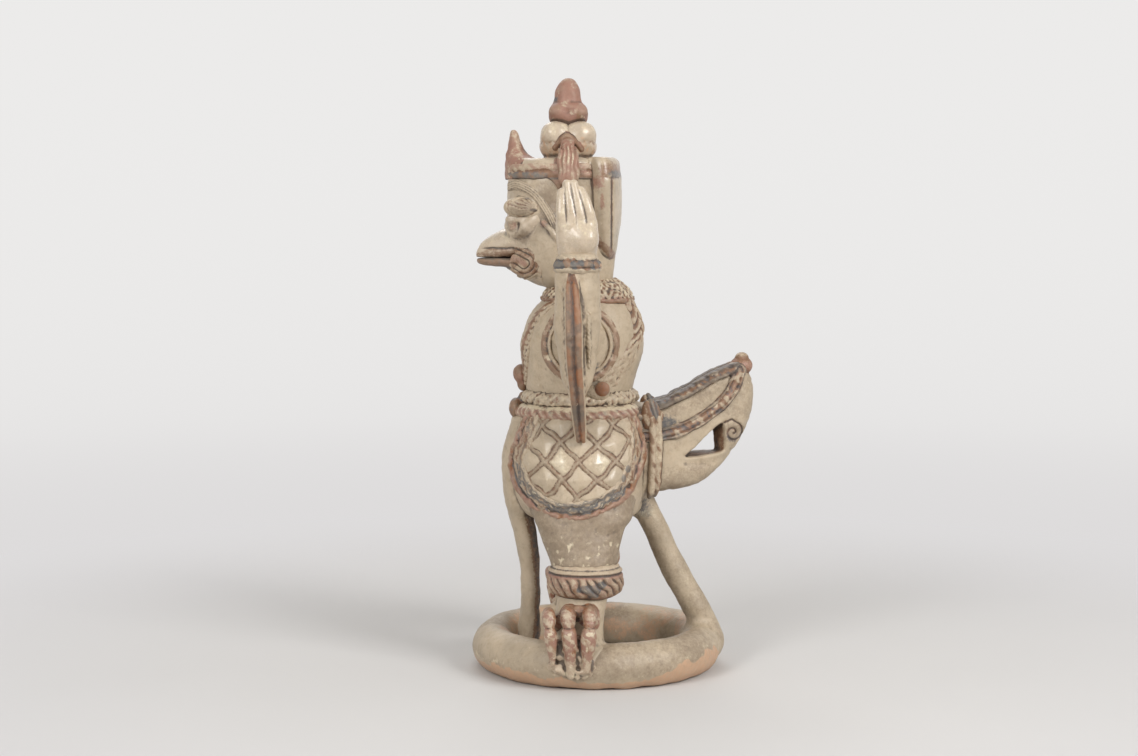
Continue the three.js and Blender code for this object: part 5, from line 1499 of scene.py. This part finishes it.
class GARUDA_OT_tail(ClayOperator, bpy.types.Operator):
    """Models the pierced tail plume with its bands and knob, and the strut under it"""

    bl_idname = "garuda.tail"
    bl_label = "Tail"

    SCROLL = (92.2, 161.6)  # Y and height of its middle

    def model(self, sizes):
        self.plume()
        self.bands()
        self.knob()
        self.strut()

    def plume(self):
        clay = Clay((-26, 12, 116), (26, 110, 214), 0.7)
        plume = tail_form(clay)
        hips = hips_form(clay)
        curl = [(86.2, 168.5), (91, 170.6), *spiral(self.SCROLL, 7, 1.35, 0.9, -1)]
        groove = to_line(clay.y, clay.z, curl)
        dip = to_line(clay.y, clay.z, smooth_line([(60, 141.5), (72, 141), (84, 144.5), (90, 150)], 4))
        field = luted(plume, hips, 7) + 1.2 * bump(groove, 0.8) + 1.0 * bump(dip, 2.8)
        wall = bump(piercing_form(clay), 1.5) * step(14, 10, np.abs(clay.x))
        clay.paint("umber", 0.8 * bump(groove, 0.8))
        clay.paint("ash", 0.5 * bump(groove, 1.8) * step(166, 158, clay.z))
        clay.paint("umber", 0.9 * wall)
        clay.paint("soot", 0.5 * wall * step(-0.6, 0.6, clay.lumps(8, 0.6, 7)))
        clay.paint("smoke", 0.85 * bump(np.hypot(clay.y - 92, clay.z - 161.6), 9))
        clay.paint("ash", 0.95 * bump(clay.z - 169, 5) * bump(clay.y - 44, 12))
        wash = 0.45 * step(150, 132, clay.z) + 0.36 * step(164, 176, clay.z)
        clay.paint("smoke", wash + 0.15 * clay.lumps(18, 0.6, 8))
        clay.fire("tail_plume", field, "pale_slip", around=[hips], uneven=0.5, seed=121)

    def bands(self):
        clay = Clay((-4, 22, 150), (28, 106, 214), 0.55)
        plume = tail_form(clay, hole=False)
        lower = to_line(clay.y, clay.z, smooth_line(TAIL_LOWER_BAND, 5))
        upper = to_line(clay.y, clay.z, smooth_line(TAIL_UPPER_BAND, 5))
        gap = np.minimum(lower - 4.6, upper - 3.6)
        band = np.maximum(gap, 2 - clay.x)
        depth = -gap
        wave = np.cos((clay.y * 0.8 + clay.z * 0.5) / 2.2)
        rough = clay.lumps(6, 0.6, 24)
        rise = 1.9 - 0.7 * bump(lower - 2.2, 0.6) + 0.5 * bump(lower, 1.2) - 0.5 * bump(depth, 0.8)
        rise = rise + 0.25 * wave + 0.35 * rough
        clay.paint("pale", 0.75 * step(-0.2, 0.7, rough + 0.5 * wave))
        clay.paint("red", 0.55 * bump(lower, 2.4) * step(-0.5, 0.5, -rough))
        clay.paint("ash", 0.6 * step(0.2, 0.9, -rough) + 0.9 * bump(clay.y - 42, 12) * step(-1, 0.6, rough))
        lines = 0.7 * bump(depth - 0.6, 0.8) + 0.5 * bump(lower - 2.2, 0.6)
        clay.paint("soot", lines + 0.6 * bump(upper - 1.6, 1.6))
        field = pressed(plume, rise, band)
        clay.fire_pair("tail_band", field, "umber_slip", around=[plume], uneven=0.7, seed=122)

    def knob(self):
        clay = Clay((-14, 84, 194), (14, 114, 222), 0.5)
        plume = tail_form(clay, hole=False)
        knob = clay.ball((0, 98.4, 206), (8.6, 7.6, 6.4))
        knob = blend(knob, clay.ball((0, 98.6, 211.4), (5, 4.6, 3.6)), 0.8)
        clay.paint("red", 0.75 * bump(clay.z - 206, 4))
        clay.paint("pale", 0.5 * step(211, 214, clay.z))
        clay.fire("tail_knob", luted(knob, plume, 1), "umber_slip", around=[plume], uneven=0.6, seed=123)

    def strut(self):
        clay = Clay((-18, 12, 8), (18, 92, 130), 0.75)
        rod = clay.coil(
            [(0, 27, 122), (0, 35.2, 105), (0, 54, 65), (0, 73, 31), (0, 77.5, 18)], [9, 8.2, 9, 9, 9],
        )
        plume = tail_form(clay)
        top = np.minimum(hips_form(clay), plume)
        ring = ring_form(clay)
        field = luted(luted(rod, top, 6), ring, 8)
        clay.paint("lime", 0.3 * step(0.1, 0.8, clay.lumps(14, 0.6, 5)))
        clay.paint("ash", 0.8 * bump(clay.z - 110, 8) * bump(clay.y - 31, 6))
        clay.paint("smoke", 0.34 + 0.1 * clay.lumps(26, 0.6, 6))
        clay.fire("strut", field, "pale_slip", around=[top, ring], uneven=0.6, seed=124)


class GARUDA_OT_sashes(ClayOperator, bpy.types.Operator):
    """Models the front sash, and the knots and ribbons behind"""

    bl_idname = "garuda.sashes"
    bl_label = "Sash and ribbons"

    def model(self, sizes):
        self.front_sash()
        self.ribbons_and_knots()

    def front_sash(self):
        clay = Clay((-18, -70, 4), (18, -32, 178), 0.7)
        hips, ring = hips_form(clay), ring_form(clay)
        tongue = clay.ovals(SASH)
        gutter = clay.coil(
            [(0, -37, 14), (0, -36.4, 40), (0, -36, 60), (0, -37.5, 80), (0, -40, 98)], [5, 5.6, 5.4, 5, 3]
        )
        tongue = crease(tongue, -gutter, 1.6)
        field = luted(luted(tongue, hips, 4), ring, 4)
        # Painted shade: the back of the sash below the hips is darkened with umber and ash, on the side
        # turned from the light.
        behind = clay.y - smooth_rows(SASH, 2, clay.z)
        clay.paint("umber", 0.8 * step(1.4, 4, behind) * step(116, 96, clay.z))
        clay.paint("ash", 0.5 * step(3, 5.5, behind) * step(116, 96, clay.z))
        clay.fire("front_sash", field, "pale_slip", around=[hips, ring], seed=131)

    def ribbons_and_knots(self):
        clay = Clay((12, 22, 102), (40, 52, 190), 0.5)
        hips = hips_form(clay)
        plume = tail_form(clay)
        host = np.minimum(hips, plume)
        front = [(24, 36.6, 172), (23.6, 37.4, 158), (23.2, 37, 138), (22.6, 36.4, 126), (21, 35, 119)]
        back = [(22.6, 40.8, 172), (22.2, 41.8, 158), (21.8, 41.2, 138), (21.2, 40.4, 126), (20, 38.6, 120)]
        strips = clay.coil(front, [2.5, 2.4, 2.2, 2.4, 1.8])
        strips = blend(strips, clay.coil(back, [2.4, 2.2, 2.1, 2.2, 1.6]), 1.4)
        rough = clay.lumps(7, 0.6, 5)
        clay.paint("pale", 0.75 * step(-1, 0.4, rough))
        clay.paint("lime", 0.4 * step(0.6, 1.1, rough))
        dark = 0.4 * step(0.4, 1, -rough) + 0.8 * step(124, 117, clay.z)
        clay.paint("soot", dark + 0.35 * bump(clay.y - 39.3, 0.6))
        field = luted(strips, host, 1)
        clay.fire_pair("rear_ribbon", field, "umber_slip", around=[host], uneven=0.4, seed=132)
        knot = clay.ball((21.5, 35.6, 174), (4.6, 6.6, 11.5))
        up = clay.z - 176
        fold = bump(clay.y - 37 + 0.35 * up, 0.9) + bump(clay.y - 40.6 + 0.3 * up, 0.8)
        clay.pigments = {}
        clay.paint("ash", 0.8 * bump(clay.y - 38.6 + 0.3 * up, 2) + 0.4 * step(0.2, 1, rough))
        clay.paint("pale", 0.6 * step(0, 0.8, -rough))
        field = luted(knot + 0.7 * fold, host, 2)
        clay.fire_pair("rear_knot", field, "umber_slip", around=[host], uneven=0.8, seed=133)


class GARUDA_OT_stage(bpy.types.Operator):
    """Sets the floor, the backdrop, the soft lights and the camera"""

    bl_idname = "garuda.stage"
    bl_label = "Stage"

    CAMERA = (1350.0, -19.0, 308.0)  # millimetres from the middle of the ring
    PITCH = math.radians(4.68)
    LENS = 62.87

    def execute(self, context):
        stage = context.scene.garuda_stage
        self.backdrop(stage)
        self.lights(context.scene, stage)
        camera = bpy.data.objects.new("camera", bpy.data.cameras.new("camera"))
        camera.data.lens = self.LENS
        camera.data.sensor_width = 36
        camera.location = RING_MIDDLE + np.array(self.CAMERA) * MM
        camera.rotation_euler = (math.pi / 2 - self.PITCH, 0, math.pi / 2)
        context.scene.collection.objects.link(camera)
        context.scene.camera = camera
        context.scene.view_settings.view_transform = "Standard"
        return {"FINISHED"}

    def backdrop(self, stage):
        """A floor that turns up into a wall all round."""
        steps, sides = 14, 72
        flat, bend, top = 1.6, 0.9, 3.5
        angles = np.linspace(0.1, math.pi / 2, steps)
        profile = [(flat, 0.0)]
        profile += [(flat + bend * math.sin(a), bend - bend * math.cos(a)) for a in angles]
        profile.append((flat + bend, top))
        points = [
            (r * math.cos(2 * math.pi * k / sides), r * math.sin(2 * math.pi * k / sides), z)
            for r, z in profile for k in range(sides)
        ]
        faces = [tuple(range(sides))]
        for row in range(len(profile) - 1):
            for k in range(sides):
                a, b = row * sides + k, row * sides + (k + 1) % sides
                faces.append((b, a, a + sides, b + sides))
        mesh = bpy.data.meshes.new("sweep")
        mesh.from_pydata(points, [], faces)
        mesh.shade_smooth()
        sweep = bpy.data.objects.new("sweep", mesh)
        bpy.context.scene.collection.objects.link(sweep)
        mesh.materials.append(self.paper(stage))

    def paper(self, stage):
        """Paper that fades to an even light away from the figure."""
        material = bpy.data.materials.new("paper")
        material.use_nodes = True
        s = Shader(material.node_tree)
        nodes = material.node_tree.nodes
        paper = nodes["Principled BSDF"]
        worn = s.span(s.noise(3, 2), 0.3, 0.7)
        floor = tuple(stage.floor)
        s.set(paper.inputs["Base Color"], s.mix(worn, floor, tuple(0.97 * c for c in floor)))
        paper.inputs["Roughness"].default_value = 0.8
        away = nodes.new("ShaderNodeVectorMath")
        away.operation = "LENGTH"
        s.set(away.inputs[0], nodes.new("ShaderNodeTexCoord").outputs["Object"])
        away = away.outputs["Value"]
        haze = nodes.new("ShaderNodeEmission")
        far = s.span(away, 0.5, 2.6)
        s.set(haze.inputs["Color"], s.mix(far, tuple(stage.distance), tuple(stage.backdrop)))
        rays = nodes.new("ShaderNodeLightPath").outputs
        seen = s.math("MAXIMUM", rays["Is Glossy Ray"], rays["Is Transmission Ray"])
        seen = s.math("MAXIMUM", rays["Is Camera Ray"], seen)
        pick = nodes.new("ShaderNodeMixShader")
        s.set(pick.inputs[0], s.math("MULTIPLY", seen, s.span(away, 0.16, 0.7)))
        s.set(pick.inputs[1], paper.outputs["BSDF"])
        s.set(pick.inputs[2], haze.outputs["Emission"])
        s.set(nodes["Material Output"].inputs["Surface"], pick.outputs[0])
        return material

    def lights(self, scene, stage):
        world = bpy.data.worlds.new("tent")
        world.use_nodes = True
        world.node_tree.nodes["Background"].inputs["Color"].default_value = (1, 0.99, 0.97, 1)
        world.node_tree.nodes["Background"].inputs["Strength"].default_value = stage.sky
        scene.world = world
        lamps = [
            ("key", stage.key, (1.0, 1.0, 0.98), 0.5),
            ("fill", stage.fill, (1.1, -0.88, 0.86), 0.5),
            ("back", stage.back, (-1.25, -0.2, 1.3), 0.9),
        ]
        for name, power, place, size in lamps:
            lamp = bpy.data.objects.new(name, bpy.data.lights.new(name, "AREA"))
            lamp.data.energy = power
            lamp.data.size = size
            lamp.location = place
            aim = Vector((0, 0, 0.2)) - lamp.location
            lamp.rotation_euler = aim.to_track_quat("-Z", "Y").to_euler()
            scene.collection.objects.link(lamp)


OPERATORS = (
    GARUDA_OT_stage, GARUDA_OT_base_ring, GARUDA_OT_legs, GARUDA_OT_garters, GARUDA_OT_feet, GARUDA_OT_hips,
    GARUDA_OT_torso, GARUDA_OT_belts, GARUDA_OT_head, GARUDA_OT_face, GARUDA_OT_headdress, GARUDA_OT_arms,
    GARUDA_OT_hands, GARUDA_OT_tail, GARUDA_OT_sashes,
)


class GARUDA_PT_panel(bpy.types.Panel):
    """Lists the members and their settings"""

    bl_idname = "GARUDA_PT_panel"
    bl_label = "Ceramic Garuda"
    bl_space_type = "VIEW_3D"
    bl_region_type = "UI"
    bl_category = "Garuda"

    def draw(self, context):
        for operator in OPERATORS:
            self.layout.operator(operator.bl_idname)
        for group in (context.scene.garuda_sizes, context.scene.garuda_colours, context.scene.garuda_stage):
            box = self.layout.box()
            for name in group.__annotations__:
                box.prop(group, name)


GROUPS = {"garuda_sizes": GarudaSizes, "garuda_colours": GarudaColours, "garuda_stage": GarudaStage}


def register():
    for cls in (*GROUPS.values(), *OPERATORS, GARUDA_PT_panel):
        bpy.utils.register_class(cls)
    for name, group in GROUPS.items():
        setattr(bpy.types.Scene, name, PointerProperty(type=group))


def unregister():
    for name in GROUPS:
        delattr(bpy.types.Scene, name)
    for cls in reversed((*GROUPS.values(), *OPERATORS, GARUDA_PT_panel)):
        bpy.utils.unregister_class(cls)


def main():
    register()
    for operator in OPERATORS:
        group, name = operator.bl_idname.split(".")
        getattr(getattr(bpy.ops, group), name)()


if __name__ == "__main__":
    main()
